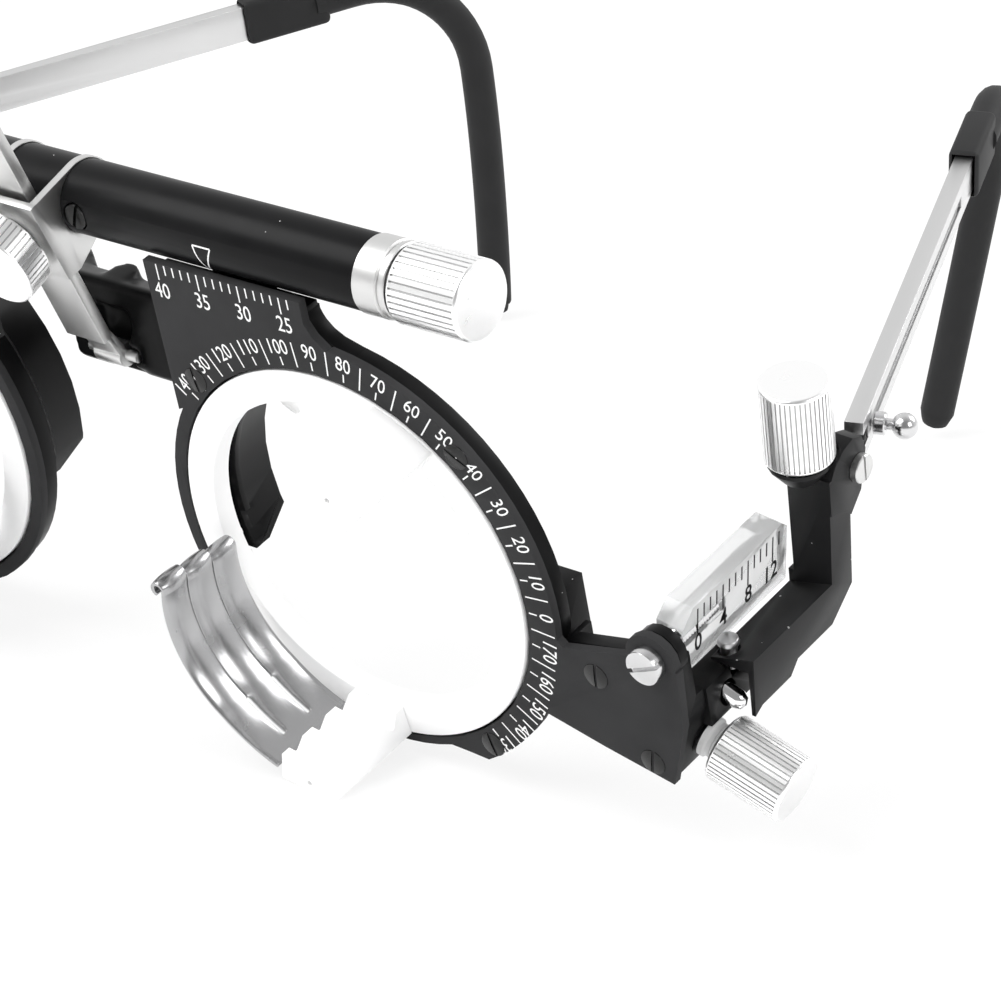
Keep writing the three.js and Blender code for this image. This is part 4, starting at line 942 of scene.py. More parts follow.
class Dresser:
    """Settles finished pieces on their bodies and keeps count of them."""

    melt_voxels: float = 4
    melt_rounds: int = 24
    melt_kept: float = 0.4

    def __init__(self, frame: dict) -> None:
        """Notes which body each node rides on.
        """
        self.frame = frame
        self.body_of = {
            node: body
            for body, nodes in frame["record"]["behaviour"]["bodies"].items()
            for node in nodes
        }
        self.count = 0

    def settle(self, piece: bpy.types.Object, name: str, shade: Shade, place: Place | None,
               stands_for: str | None = None, body: str | None = None) -> bpy.types.Object:
        """Puts a piece in its place, on its body and in its finish.

        Args:
            piece: The mesh, in millimetres, or in metres where no place is given.
            name: The piece's name.
            shade: Its finish.
            place: Its axes.
            stands_for: The node that it replaces.
            body: The body that it rides on, where it replaces no node.

        Returns:
            The piece.
        """
        if place is not None:
            piece.data.transform(place.matrix)
            if place.matrix.determinant() < 0:
                piece.data.flip_normals()
        piece.name = name
        piece.data.name = name
        if not any(piece.data.materials):
            piece.data.materials.clear()
            piece.data.materials.append(shade.material())
        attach(piece, body or self.body_of[stands_for])
        if stands_for:
            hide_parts(stands_for)
        self.count += 1
        LOG.info("piece %s", name)
        return piece

    def keep(self, node: str, shade: Shade) -> None:
        """Gives a node whose shape is right a better material.

        Args:
            node: The node.
            shade: Its finish.
        """
        mesh = self.frame["nodes"][node].data
        mesh.materials.clear()
        mesh.materials.append(shade.material())
        LOG.info("node %s", node)

    def refine(self, node: str, shade: Shade, width: float = 0.15, segments: int = 2,
               angle: float = 32, cutters: Sequence[bpy.types.Object] = (),
               melt: float = 0) -> bpy.types.Object:
        """Replaces a node by a copy of itself with broken edges and smooth rounds.

        Args:
            node: The node.
            shade: Its finish.
            width: The width of the broken edges, in millimetres.
            segments: The steps across them.
            angle: The least angle of an edge that is broken, in degrees.
            cutters: What is cut away first, in metres in the row frame.
            melt: How far the shape is melted into soft moulded forms, in millimetres.

        Returns:
            The piece.
        """
        source = self.frame["nodes"][node]
        piece = bpy.data.objects.new(node, source.data.copy())
        piece.data.materials.clear()
        bpy.context.collection.objects.link(piece)
        if cutters:
            Bench.carve(Bench.tidy(piece, WELD * MILLIMETRE), *cutters)
        if melt:
            Bench.tidy(piece, WELD * MILLIMETRE)
            Bench.modify(piece, "REMESH", mode="VOXEL", use_smooth_shade=True,
                         voxel_size=melt * MILLIMETRE / self.melt_voxels)
            Bench.modify(piece, "SMOOTH", factor=0.5, iterations=self.melt_rounds)
            Bench.modify(piece, "DECIMATE", ratio=self.melt_kept)
            Bench.smooth(piece, angle=60)
        else:
            Bench.soften(piece, width * MILLIMETRE, segments, angle, weld=WELD * MILLIMETRE)
        return self.settle(piece, f"{node}_finished", shade, None, stands_for=node)


def arc(centre: Point, radius: float, start: float, end: float,
        steps: int) -> list[tuple[float, float]]:
    """Points on an arc, with its angles in degrees.

    Args:
        centre: The arc's centre.
        radius: Its radius.
        start: Its first angle.
        end: Its last angle.
        steps: The number of steps between them.

    Returns:
        The points.
    """
    return [
        (centre[0] + radius * math.cos(math.radians(start + (end - start) * i / steps)),
         centre[1] + radius * math.sin(math.radians(start + (end - start) * i / steps)))
        for i in range(steps + 1)
    ]


def hull(points: Sequence[Point]) -> list[tuple[float, float]]:
    """The outline stretched round some points.

    Args:
        points: The points.

    Returns:
        The outline's corners, in order.
    """
    ordered = sorted({(round(x, 6), round(y, 6)) for x, y in points})
    outline: list[tuple[float, float]] = []
    for run in (ordered, ordered[::-1]):
        half: list[tuple[float, float]] = []
        for point in run:
            while len(half) > 1:
                (ax, ay), (bx, by) = half[-2:]
                if (bx - ax) * (point[1] - ay) - (by - ay) * (point[0] - ax) > 0:
                    break
                half.pop()
            half.append(point)
        outline += half[:-1]
    return outline


# Fasteners and knobs


@dataclass
class Knob:
    """A knurled knob: straight grooves between plain rims, with a bevelled end face."""

    radius: float
    length: float
    flutes: int
    groove: float = 0.2
    rim: float = 0.018
    bevel: float = 0.35
    faces_per_flute: int = 3

    def build(self, start: Point, direction: Point) -> bpy.types.Object:
        """Models the knob.

        Args:
            start: The middle of its inner end.
            direction: Where its outer end points.

        Returns:
            The mesh.
        """
        Bench.clear()
        sides = self.faces_per_flute * self.flutes
        bpy.ops.mesh.primitive_cylinder_add(
            vertices=sides, radius=self.radius, depth=self.length,
            location=(0, 0, self.length / 2),
        )
        piece = Bench.apply_place(bpy.context.object)
        mesh = piece.data
        heights = [vertex.co.z for vertex in mesh.vertices]
        Bench.select_in(piece, "EDGE", [
            abs(heights[edge.vertices[0]] - heights[edge.vertices[1]]) < self.bevel
            for edge in mesh.edges
        ])
        bpy.ops.mesh.bevel(offset=self.bevel, segments=3, affect="EDGES")
        bpy.ops.object.mode_set(mode="OBJECT")
        pitch = 2 * math.pi / sides
        grooved = []
        for face in mesh.polygons:
            turn = math.atan2(face.center.y, face.center.x) / pitch + 0.25
            upright = abs(face.normal.z) < 0.1
            grooved.append(upright and math.floor(turn) % self.faces_per_flute == 0)
        Bench.select_in(piece, "FACE", grooved)
        bpy.ops.mesh.inset(thickness=self.rim, depth=-self.groove, use_individual=True)
        bpy.ops.object.mode_set(mode="OBJECT")
        # Painted shade: the inset groove faces get the darker plate, which stands in for the shade
        # inside the grooves.
        for shade in (Shade.KNOB, Shade.GROOVE):
            mesh.materials.append(shade.material())
        for face in mesh.polygons:
            face.material_index = int(face.select)
        Bench.smooth(piece, angle=35)
        Bench.modify(piece, "WEIGHTED_NORMAL", keep_sharp=True, weight=90)
        return Bench.along(piece, start, direction)


@dataclass
class SlottedScrew:
    """A slotted screw head with a broken edge."""

    radius: float
    thickness: float
    slot_width: float = 0.45
    slot_depth: float = 0.5
    slot_turn: float = 0.0
    crown: float = 0.15

    def build(self, centre: Point, direction: Point) -> bpy.types.Object:
        """Models the head.

        Args:
            centre: The middle of its underside.
            direction: Where its face points.

        Returns:
            The mesh.
        """
        radius, top, edge = self.radius, self.thickness, self.crown
        corner = edge * 0.3
        head = Bench.turned([
            (0, 0), (radius, 0), (radius, top - edge), (radius - corner, top - corner),
            (radius - edge, top), (0, top + edge / 2),
        ], ORIGIN, UP, sides=40)
        slot = Bench.block(
            (-self.radius * 1.5, -self.slot_width / 2, self.thickness - self.slot_depth),
            (self.radius * 1.5, self.slot_width / 2, self.thickness * 2),
        )
        slot.matrix_world = Matrix.Rotation(math.radians(self.slot_turn), 4, "Z")
        Bench.carve(head, Bench.apply_place(slot))
        Bench.smooth(head, angle=30)
        return Bench.along(head, centre, direction)


# The lens cells


@dataclass
class ScalePlate:
    """The printed plate with its axis scale, pupil distance scale and arm screws."""

    face: float = 0.0
    ink: float = 0.012
    axis_long: tuple[float, float] = (20.85, 23.5)
    axis_short: tuple[float, float] = (20.85, 21.75)
    numeral_radius: float = 22.75
    numeral_size: float = 2.25
    line: float = 0.15
    axis_from: int = -50
    axis_to: int = 145
    axis_step: int = 5
    axis_label_step: int = 10
    distance_zero: float = 22.6
    distance_top: float = 28.12
    distance_long: float = 1.75
    distance_short: float = 1.05
    distance_size: float = 2.4
    distance_drop: float = 2.95
    distance_shift: float = 0.1
    distance_marks: tuple[int, int] = (24, 40)
    distance_labels: tuple[int, ...] = (40, 35, 30, 25)
    squeeze: float = 0.8
    screw_radius: float = 1.35
    screw_thickness: float = 0.3
    screw_sunk: float = 0.2
    rim_radius: float = 22.2
    rim_screws: tuple[tuple[float, float], ...] = ((135.1, 100), (45.2, 150), (-54.0, 105))
    arm_screws: tuple[tuple[float, float, float], ...] = ((27.56, -5.01, 85), (32.61, -13.19, 80))

    def screw_places(self) -> list[tuple[float, float, float]]:
        """Each flush screw's X, Z and slot turn.

        Returns:
            The places, from the rim to the arm.
        """
        rim = self.rim_radius
        places = [(rim * math.cos(math.radians(angle)), rim * math.sin(math.radians(angle)), turn)
                  for angle, turn in self.rim_screws]
        return [*places, *self.arm_screws]

    def stroke(self, start: Point, end: Point, width: float) -> bpy.types.Object:
        """A printed line between two points of the face.

        Args:
            start: Its first point, as X and Z.
            end: Its last point.
            width: Its width.

        Returns:
            The mesh.
        """
        a, b = Vector(start), Vector(end)
        across = (b - a).normalized().orthogonal() * width / 2
        loop = [tuple(a + across), tuple(b + across), tuple(b - across), tuple(a - across)]
        return Bench.flat([loop], self.face - self.ink, self.face, Facing.FRONT)

    def ticks(self) -> list[bpy.types.Object]:
        """The axis scale's and the distance scale's lines.

        Returns:
            A mesh for each line.
        """
        lines = []
        for angle in range(self.axis_from, self.axis_to, self.axis_step):
            reach = self.axis_long if angle % self.axis_label_step else self.axis_short
            ray = Vector((math.cos(math.radians(angle)), math.sin(math.radians(angle))))
            lines.append(self.stroke(ray * reach[0], ray * reach[1], self.line))
        first, last = self.distance_marks
        top = self.distance_top
        for value in range(first, last + 1):
            x = self.distance_zero - value
            length = self.distance_long if value in self.distance_labels else self.distance_short
            lines.append(self.stroke((x, top), (x, top - length), self.line))
        return lines

    def numerals(self, side: Side) -> list[bpy.types.Object]:
        """The figures, which read the right way round on both sides.

        Args:
            side: Which side.

        Returns:
            A mesh for each figure.
        """
        figures = []
        flip = Matrix.Diagonal((side.sign, 1, 1, 1))
        upright = Facing.FRONT.at(0)
        for angle in range(self.axis_from, self.axis_to, self.axis_label_step):
            around = angle if side is Side.RIGHT else 180 - angle
            label = around % 180
            x = self.numeral_radius * math.cos(math.radians(around))
            z = self.numeral_radius * math.sin(math.radians(around))
            place = (flip @ Matrix.Translation((x, self.face, z)) @ upright
                     @ Matrix.Rotation(math.radians(around - 90), 4, "Z"))
            figures.append(Bench.lettering(str(label), self.numeral_size, place,
                                           self.ink, self.squeeze))
        z = self.distance_top - self.distance_drop
        for value in self.distance_labels:
            x = side.sign * (self.distance_zero - value) + self.distance_shift
            place = flip @ Matrix.Translation((x, self.face, z)) @ upright
            figures.append(Bench.lettering(str(value), self.distance_size, place,
                                           self.ink, self.squeeze))
        return figures

    def dress(self, dresser: Dresser, layout: Layout, side: Side) -> None:
        """Finishes one side's plate.

        Args:
            dresser: Settles the pieces.
            layout: The axes.
            side: Which side.
        """
        place = layout.cell(side)
        dresser.refine(side.node("scale_plate"), Shade.PLATE, width=0.09)
        body = side.node("cell")
        dresser.settle(Bench.merge(*self.ticks()), side.node("scale_lines"), Shade.WHITE_INK,
                       place, body=body)
        dresser.settle(Bench.merge(*self.numerals(side)), side.node("scale_figures"),
                       Shade.WHITE_INK, place, body=body)
        heads = []
        for x, z, turn in self.screw_places():
            screw = SlottedScrew(self.screw_radius, self.screw_thickness, slot_width=0.3,
                                 slot_depth=0.25, slot_turn=turn, crown=0.12)
            heads.append(screw.build((x, self.face + self.screw_sunk, z), FRONT))
        dresser.settle(Bench.merge(*heads), side.node("plate_screws"), Shade.BLACK_SCREW, place,
                       body=body)


@dataclass
class LensRing:
    """The white ring that carries the lens seats and the spring."""

    inner: float = 16.9
    outer: float = 20.2
    drum: float = 19.6
    relief: float = 18.2
    front: float = -0.2
    lip: float = 0.25
    flange_back: float = 1.0
    relief_from: float = 2.0
    back: float = 3.45
    root: float = 2.95
    teeth: int = 48
    tooth_width: float = 0.5
    tooth_inner: float = 18.7
    drive_angle: float = -19.4
    block_inner: float = 17.1
    block_outer: float = 20.2
    block_reach: float = 11.4
    block_half: float = 10.0
    block_angles: tuple[tuple[str, float], ...] = (
        ("lower_lens_block", -92.0), ("upper_lens_block", 60.0),
    )
    grooves: int = 3
    groove_first: float = 2.3
    groove_pitch: float = 3.5
    groove_depth: float = 1.3
    groove_half: float = 1.0
    groove_land: float = 0.12
    pin_hole: float = 0.28
    pin_hole_inset: float = 0.9

    def ring(self) -> bpy.types.Object:
        """Turns the ring and adds the crown teeth on its back.

        Returns:
            The mesh.
        """
        lip, corner, front = self.lip, self.lip * 0.3, self.front
        ring = Bench.turned([
            (self.inner, front + lip), (self.inner + corner, front + corner),
            (self.inner + lip, front), (self.outer - lip, front),
            (self.outer - corner, front + corner), (self.outer, front + lip),
            (self.outer, self.flange_back), (self.drum, self.flange_back),
            (self.drum, self.root), (self.relief, self.root), (self.relief, self.relief_from),
            (self.inner, self.relief_from), (self.inner, front + lip),
        ], ORIGIN, BACK, sides=128)
        half = self.tooth_width / 2
        teeth = []
        for i in range(self.teeth):
            tooth = Bench.block((self.tooth_inner, self.root - 0.1, -half),
                                (self.drum, self.back, half))
            angle = 360 * (i + 0.5) / self.teeth - self.drive_angle
            tooth.matrix_world = Matrix.Rotation(math.radians(angle), 4, "Y")
            teeth.append(Bench.apply_place(tooth))
        return Bench.smooth(Bench.merge(ring, *teeth), angle=30)

    def block(self, middle: float) -> bpy.types.Object:
        """A grooved seat for three lenses.

        Args:
            middle: The angle of its middle.

        Returns:
            The mesh.
        """
        low, high = middle - self.block_half, middle + self.block_half
        loop = [*arc((0, 0), self.block_outer, low, high, 24),
                *arc((0, 0), self.block_inner, high, low, 24)]
        body = Bench.flat([loop], -self.block_reach, self.front - 0.02, Facing.FRONT)
        r, half, land = self.block_inner, self.groove_half, self.groove_land
        bottom = r + self.groove_depth
        for i in range(self.grooves):
            depth = -self.groove_first - i * self.groove_pitch
            wedge = Bench.turned([
                (r - 2, depth - half - 0.4), (r + 0.02, depth - half), (bottom, depth - land),
                (bottom, depth + land), (r + 0.02, depth + half), (r - 2, depth + half + 0.4),
                (r - 2, depth - half - 0.4),
            ], ORIGIN, BACK, sides=96)
            Bench.carve(body, wedge)
        turn = math.radians(middle)
        pin_at = (self.block_outer * math.cos(turn), -self.block_reach - 1,
                  (self.block_outer - self.pin_hole_inset) * math.sin(turn))
        Bench.carve(body, Bench.rod(pin_at, BACK, 1.8, self.pin_hole, sides=24))
        return Bench.soften(body, width=0.22, segments=3)

    def dress(self, dresser: Dresser, layout: Layout, side: Side) -> None:
        """Finishes one side's ring and blocks.

        Args:
            dresser: Settles the pieces.
            layout: The axes.
            side: Which side.
        """
        place = layout.cell(side)
        dresser.settle(self.ring(), side.node("white_ring"), Shade.WHITE, place,
                       stands_for=side.node("lens_ring"))
        for node, angle in self.block_angles:
            dresser.settle(self.block(angle), side.node(f"{node}_finished"), Shade.WHITE, place,
                           stands_for=side.node(node))


@dataclass
class LensSpring:
    """The chrome leaf spring: a root strip that splits into three rolled fingers."""

    root_angle: float = -103.5
    waist_angle: float = -126.0
    tip_angle: float = -175.5
    root_radius: float = 19.0
    waist_radius: float = 17.9
    tip_radius: float = 14.6
    closing: float = 1.4
    thickness: float = 0.4
    edge: float = 0.08
    front: float = 11.5
    pitch: float = 3.7
    width: float = 3.2
    stagger: float = 0.035
    slot_from: float = 0.09
    wide_to: float = 0.3
    slit: float = 0.16
    curl: float = 0.62
    curl_turn: float = 265.0
    curl_steps: int = 14
    steps: int = 60
    fingers: int = 3
    across: int = 6
    arch: float = -0.34
    curl_arch: float = 0.4
    curl_fade: int = 4

    def radius(self, share: float) -> float:
        """The distance of the strip's middle line from the lens axis.

        Args:
            share: How far along the strip, from 0 to 1.

        Returns:
            The distance.
        """
        bend = (self.root_angle - self.waist_angle) / (self.root_angle - self.tip_angle)
        if share < bend:
            return self.root_radius + (self.waist_radius - self.root_radius) * share / bend
        rest = (share - bend) / (1 - bend)
        return self.waist_radius + (self.tip_radius - self.waist_radius) * rest ** self.closing

    def point(self, share: float) -> tuple[float, float]:
        """A point of the strip's middle line."""
        angle = math.radians(self.root_angle + (self.tip_angle - self.root_angle) * share)
        return self.radius(share) * math.cos(angle), self.radius(share) * math.sin(angle)

    def finger_path(self, finger: int) -> list[tuple[float, float]]:
        """The middle line from the root to a finger's tip, and round its curl.

        Args:
            finger: Which finger, counted from the front.

        Returns:
            The line's points.
        """
        end = 1 - finger * self.stagger
        line = []
        for i in range(self.steps + 1):
            share = i / self.steps
            wide = self.wide_to
            if share > wide:
                share = wide + (share - wide) * (end - wide) / (1 - wide)
            line.append(self.point(share))
        tip, before = Vector(line[-1]), Vector(line[-2])
        run = (tip - before).normalized()
        outward = Vector((run.y, -run.x))
        if outward.dot(tip) < 0:
            outward = -outward
        centre = tip + outward * self.curl
        for i in range(1, self.curl_steps + 1):
            turn = math.radians(self.curl_turn * i / self.curl_steps)
            back, over = outward * self.curl * math.cos(turn), run * self.curl * math.sin(turn)
            line.append(tuple(centre - back + over))
        return line

    def columns(self) -> list[tuple[int, float]]:
        """Each lengthways line of the sheet: its finger and its place across.

        Returns:
            The lines, from the front to the back.
        """
        gap = self.pitch - self.width
        edge = (gap - self.slit) / 2
        lines = []
        for finger in range(self.fingers):
            low = -self.front + finger * self.pitch
            if finger:
                lines.append((finger, low - edge))
            lines += [(finger, low + self.width * i / self.across) for i in range(self.across + 1)]
            if finger < self.fingers - 1:
                lines.append((finger, low + self.width + edge))
        return lines

    def build(self) -> bpy.types.Object:
        """Cuts the slots in a sheet, bends it to the fingers' lines and gives it its thickness.

        Returns:
            The mesh.
        """
        columns = self.columns()
        paths = [self.finger_path(finger) for finger in range(self.fingers)]
        long, wide = len(paths[0]) - 1, len(columns) - 1
        Bench.clear()
        bpy.ops.mesh.primitive_grid_add(x_subdivisions=long, y_subdivisions=wide, size=1)
        sheet = bpy.context.object
        cut = []
        for face in sheet.data.polygons:
            share = (face.center.x + 0.5) * long / self.steps
            across = int((face.center.y + 0.5) * wide)
            before, after = columns[across], columns[across + 1]
            if before[0] != after[0]:
                cut.append(share > self.slot_from)
            else:
                narrow = after[1] - before[1] < self.width / self.across / 2
                cut.append(narrow and self.slot_from < share < self.wide_to)
        Bench.select_in(sheet, "FACE", cut)
        bpy.ops.mesh.delete(type="FACE")
        bpy.ops.object.mode_set(mode="OBJECT")
        for vertex in sheet.data.vertices:
            finger, across = columns[round((vertex.co.y + 0.5) * wide)]
            along = round((vertex.co.x + 0.5) * long)
            place = Vector(paths[finger][along])
            ends = [Vector(paths[finger][max(0, min(long, along + step))]) for step in (-1, 1)]
            outward = Vector((ends[0].y - ends[1].y, ends[1].x - ends[0].x)).normalized()
            share = 2 * (across + self.front - finger * self.pitch) / self.width - 1
            grown = min(1.0, max(0.0, (along / self.steps - self.slot_from) / self.wide_to))
            curled = min(1.0, max(0.0, (along - self.steps) / self.curl_fade))
            grown -= (1 - self.curl_arch) * curled
            place += outward * self.arch * grown * max(0.0, 1 - share * share)
            vertex.co = (place.x, across, place.y)
        Bench.modify(sheet, "SOLIDIFY", thickness=self.thickness, offset=0, use_even_offset=True)
        Bench.tidy(sheet)
        Bench.modify(sheet, "BEVEL", width=self.edge, segments=2, limit_method="ANGLE",
                     angle_limit=math.radians(50))
        return Bench.smooth(sheet, angle=50)

    def dress(self, dresser: Dresser, layout: Layout, side: Side) -> None:
        """Finishes one side's spring."""
        dresser.settle(self.build(), side.node("leaf_spring"), Shade.SPRING, layout.cell(side),
                       stands_for=side.node("lens_spring"))


@dataclass
class AxisDrive:
    """The knob that turns the lens axis, its shaft and the round-nosed pin above it."""

    angle: float = -19.4
    depth: float = 4.85
    start: float = 39.5
    collar_from: float = 37.7
    collar_radius: float = 2.0
    collar_length: float = 2.0
    collar_bore: float = 0.9
    collar_groove: float = 0.25
    knob: Knob = field(default_factory=lambda: Knob(3.35, 8.0, 44))

    def dress(self, dresser: Dresser, layout: Layout, side: Side) -> None:
        """Finishes one side's axis drive.

        Args:
            dresser: Settles the pieces.
            layout: The axes.
            side: Which side.
        """
        ray = Vector((math.cos(math.radians(self.angle)), 0, math.sin(math.radians(self.angle))))
        at: Callable[[float], Vector] = lambda distance: ray * distance + Vector((0, self.depth, 0))
        grip = self.knob.build(at(self.start), ray)
        bore, outer, length = self.collar_bore, self.collar_radius, self.collar_length
        inner = outer - self.collar_groove
        neck = Bench.turned([
            (bore, 0), (outer, 0), (outer, 0.5), (inner, 0.7), (inner, 1.1), (outer, 1.3),
            (outer, length), (bore, length), (bore, 0),
        ], at(self.collar_from), ray, sides=40)
        Bench.smooth(neck, angle=30)
        dresser.settle(Bench.merge(grip, neck), side.node("axis_grip"), Shade.KNOB,
                       layout.cell(side), stands_for=side.node("axis_knob"))
        dresser.keep(side.node("axis_shaft"), Shade.STEEL)
        dresser.refine(side.node("detent_pin"), Shade.CHROME, width=0.06, angle=50)


@dataclass
class VertexScale:
    """The clear bar with its black millimetre scale and the screw that holds it."""

    lean: float = 9.4
    left: float = 31.8
    width: float = 2.9
    low: float = -5.2
    zero: float = 5.9
    pitch: float = 1.0
    marks_drawn: int = 14
    labels: tuple[int, ...] = (0, 4, 8, 12)
    label_shift: float = 0.1
    wide_label_shift: float = -0.3
    tick_top: float = 1.3
    long_tick: float = 2.95
    short_tick: float = 1.6
    line: float = 0.2
    figure_size: float = 2.75
    figure_drop: float = 4.1
    figure_squeeze: float = 0.85
    figure_bold: float = 0.04
    ink: float = 0.012
    screw_centre: tuple[float, float] = (34.3, -1.1)
    screw_radius: float = 1.78
    screw_thickness: float = 1.3
    screw_lift: float = 0.02
    thread_root: float = 0.82
    thread_crest: float = 1.0
    thread_pitch: float = 0.4
    thread_turns: int = 24

    def marks(self, side: Side) -> list[bpy.types.Object]:
        """The lines and figures on the bar's outer face.

        Args:
            side: Which side.

        Returns:
            A mesh for each mark.
        """
        face = self.left + self.width
        pieces = []
        top, half = self.tick_top, self.line / 2
        for i in range(self.marks_drawn):
            y = self.zero + i * self.pitch
            low = top - (self.long_tick if i in self.labels else self.short_tick)
            loop = [(y - half, top), (y + half, top), (y + half, low), (y - half, low)]
            pieces.append(Bench.flat([loop], face, face + self.ink, Facing.SIDE))
        reading = Facing.SIDE.at(0) @ Matrix.Diagonal((side.sign, 1, 1, 1))
        for i in self.labels:
            shift = self.label_shift if i < 10 else self.wide_label_shift
            y = self.zero + i * self.pitch + shift
            place = Matrix.Translation((face, y, top - self.figure_drop)) @ reading
            pieces.append(Bench.lettering(str(i), self.figure_size, place, self.ink,
                                          self.figure_squeeze, self.figure_bold))
        return pieces

    def dress(self, dresser: Dresser, layout: Layout, side: Side) -> None:
        """Finishes one side's clear bar and its screw.

        Args:
            dresser: Settles the pieces.
            layout: The axes.
            side: Which side.
        """
        cell = layout.cell(side)
        pivot = (self.left + self.width, 0, self.low)
        turn = (Matrix.Translation(pivot) @ Matrix.Rotation(math.radians(self.lean), 4, "Y")
                @ Matrix.Translation([-v for v in pivot]))
        dresser.refine(side.node("vertex_scale"), Shade.CLEAR, width=0.14)
        dresser.settle(Bench.merge(*self.marks(side)), side.node("vertex_marks"), Shade.BLACK_INK,
                       cell.shifted(turn), body=side.node("cell"))
        x, z = self.screw_centre
        foot = (x, -self.screw_lift, z)
        head = SlottedScrew(self.screw_radius, self.screw_thickness, slot_turn=22, crown=0.14)
        screw = head.build(foot, FRONT)
        root, thread = self.thread_root, []
        for i in range(self.thread_turns):
            start = i * self.thread_pitch
            thread += [(root, start + 0.02), (self.thread_crest, start + 0.22)]
        shank = Bench.turned([(0, 0), *thread, (root, 9.7), (0, 9.8)], foot, BACK, sides=32)
        Bench.smooth(shank, angle=20)
        dresser.settle(Bench.merge(screw, shank), side.node("bar_screw"), Shade.TURNED, cell,
                       stands_for=side.node("scale_screw"))


@dataclass
class CellHousing:
    """The black moulded housing behind the plate, and the nut that carries it."""

    window: float = 16.5
    drum: float = 21.5
    guard_inner: float = 18.35
    window_from: float = -172.0
    guard_end: float = -148.0
    window_to: float = -52.0
    window_depth: tuple[float, float] = (3.3, 5.6)
    foot_low: tuple[float, float, float] = (-21.0, 3.3, -11.0)
    foot_high: tuple[float, float, float] = (-12.0, 6.2, -6.75)
    fillet: tuple[tuple[float, float], ...] = (
        (-0.25, 26.3), (0.0, 25.6), (0.42, 24.9), (1.15, 24.15), (2.25, 23.52), (3.6, 23.12),
        (5.0, 22.72), (5.0, 21.3), (-0.25, 21.3),
    )
    fillet_depth: tuple[float, float] = (0.95, 2.85)
    lip_low: tuple[float, float, float] = (-18.65, 1.2, 26.2)
    lip_high: tuple[float, float, float] = (-0.25, 2.75, 26.95)

    def dress(self, dresser: Dresser, layout: Layout, side: Side) -> None:
        """Finishes one side's housing.

        Args:
            dresser: Settles the pieces.
            layout: The axes.
            side: Which side.
        """
        place = layout.cell(side)
        cutters = []
        for outer, start, end in ((self.guard_inner, self.window_from, self.guard_end + 1),
                                  (self.drum, self.guard_end, self.window_to)):
            loop = arc((0, 0), outer, start, end, 32) + arc((0, 0), self.window, end, start, 32)
            cutters.append(Bench.flat([loop], *self.window_depth, Facing.FRONT))
        cutters.append(Bench.block(self.foot_low, self.foot_high))
        for cutter in cutters:
            cutter.data.transform(place.matrix)
            if place.matrix.determinant() < 0:
                cutter.data.flip_normals()
        dresser.refine(side.node("cell_housing"), Shade.SMOOTH_MOULDED, width=0.28, segments=3,
                       cutters=cutters)
        lip = Bench.soften(Bench.block(self.lip_low, self.lip_high), width=0.12)
        fillet = Bench.flat([self.fillet], *self.fillet_depth, Facing.FRONT)
        lip = Bench.merge(lip, Bench.soften(fillet, width=0.3, segments=3))
        dresser.settle(lip, side.node("slide_lip"), Shade.SMOOTH_MOULDED, place,
                       body=side.node("cell"))
        dresser.keep(side.node("carriage"), Shade.STEEL)


# The temples


@dataclass
class TempleBracket:
    """The cranked bracket, its screws and pin, and the knob that tilts the temple."""

    knob_place: tuple[float, float] = (37.2, 20.3)
    knob_low: float = 9.35
    knob: Knob = field(default_factory=lambda: Knob(3.35, 8.3, 46))
    stem: float = 0.8
    stem_length: float = 1.8
    stem_reach: float = 1.4
    pin_left: float = 35.0
    pin_right: float = 40.5
    pin_radius: float = 0.67
    pin_head: float = 1.4
    pin_head_thickness: float = 0.8
    pin_slot_depth: float = 0.22
    pin_slot_half: float = 0.14

    def dress(self, dresser: Dresser, layout: Layout, side: Side) -> None:
        """Finishes one side's bracket.

        Args:
            dresser: Settles the pieces.
            layout: The axes.
            side: Which side.
        """
        place = layout.bracket(side)
        dresser.refine(side.node("temple_bracket"), Shade.BRACKET, width=0.22, segments=3)
        dresser.refine(side.node("bracket_screw"), Shade.STEEL, width=0.1, angle=40)
        dresser.refine(side.node("tilt_link"), Shade.SMOOTH_MOULDED, width=0.08)
        x, y = self.knob_place
        grip = self.knob.build((x, y, self.knob_low), UP)
        stem = Bench.rod((x, y, self.knob_low - self.stem_reach), UP, self.stem_length,
                         self.stem, sides=24)
        dresser.settle(Bench.merge(grip, stem), side.node("tilt_grip"), Shade.KNOB, place,
                       stands_for=side.node("tilt_knob"))
        _, pin_y, pin_z = layout.tilt_pin
        width = self.pin_right - self.pin_left
        radius, head, top = self.pin_radius, self.pin_head, width + self.pin_head_thickness
        pin = Bench.turned([
            (0, 0), (radius, 0), (radius, width + 0.03), (head, width + 0.03),
            (head, top - 0.15), (head - 0.06, top - 0.05), (head - 0.18, top), (0, top),
        ], (self.pin_left, pin_y, pin_z), RIGHT, sides=48)
        floor = self.pin_right + self.pin_head_thickness - self.pin_slot_depth
        half = self.pin_slot_half
        slot = Bench.block((floor, pin_y - half, pin_z - 2),
                           (self.pin_right + 3, pin_y + half, pin_z + 2))
        Bench.carve(pin, slot)
        dresser.settle(Bench.smooth(pin, angle=30), side.node("lug_pin"), Shade.NICKEL, place,
                       stands_for=side.node("hinge_pin"))


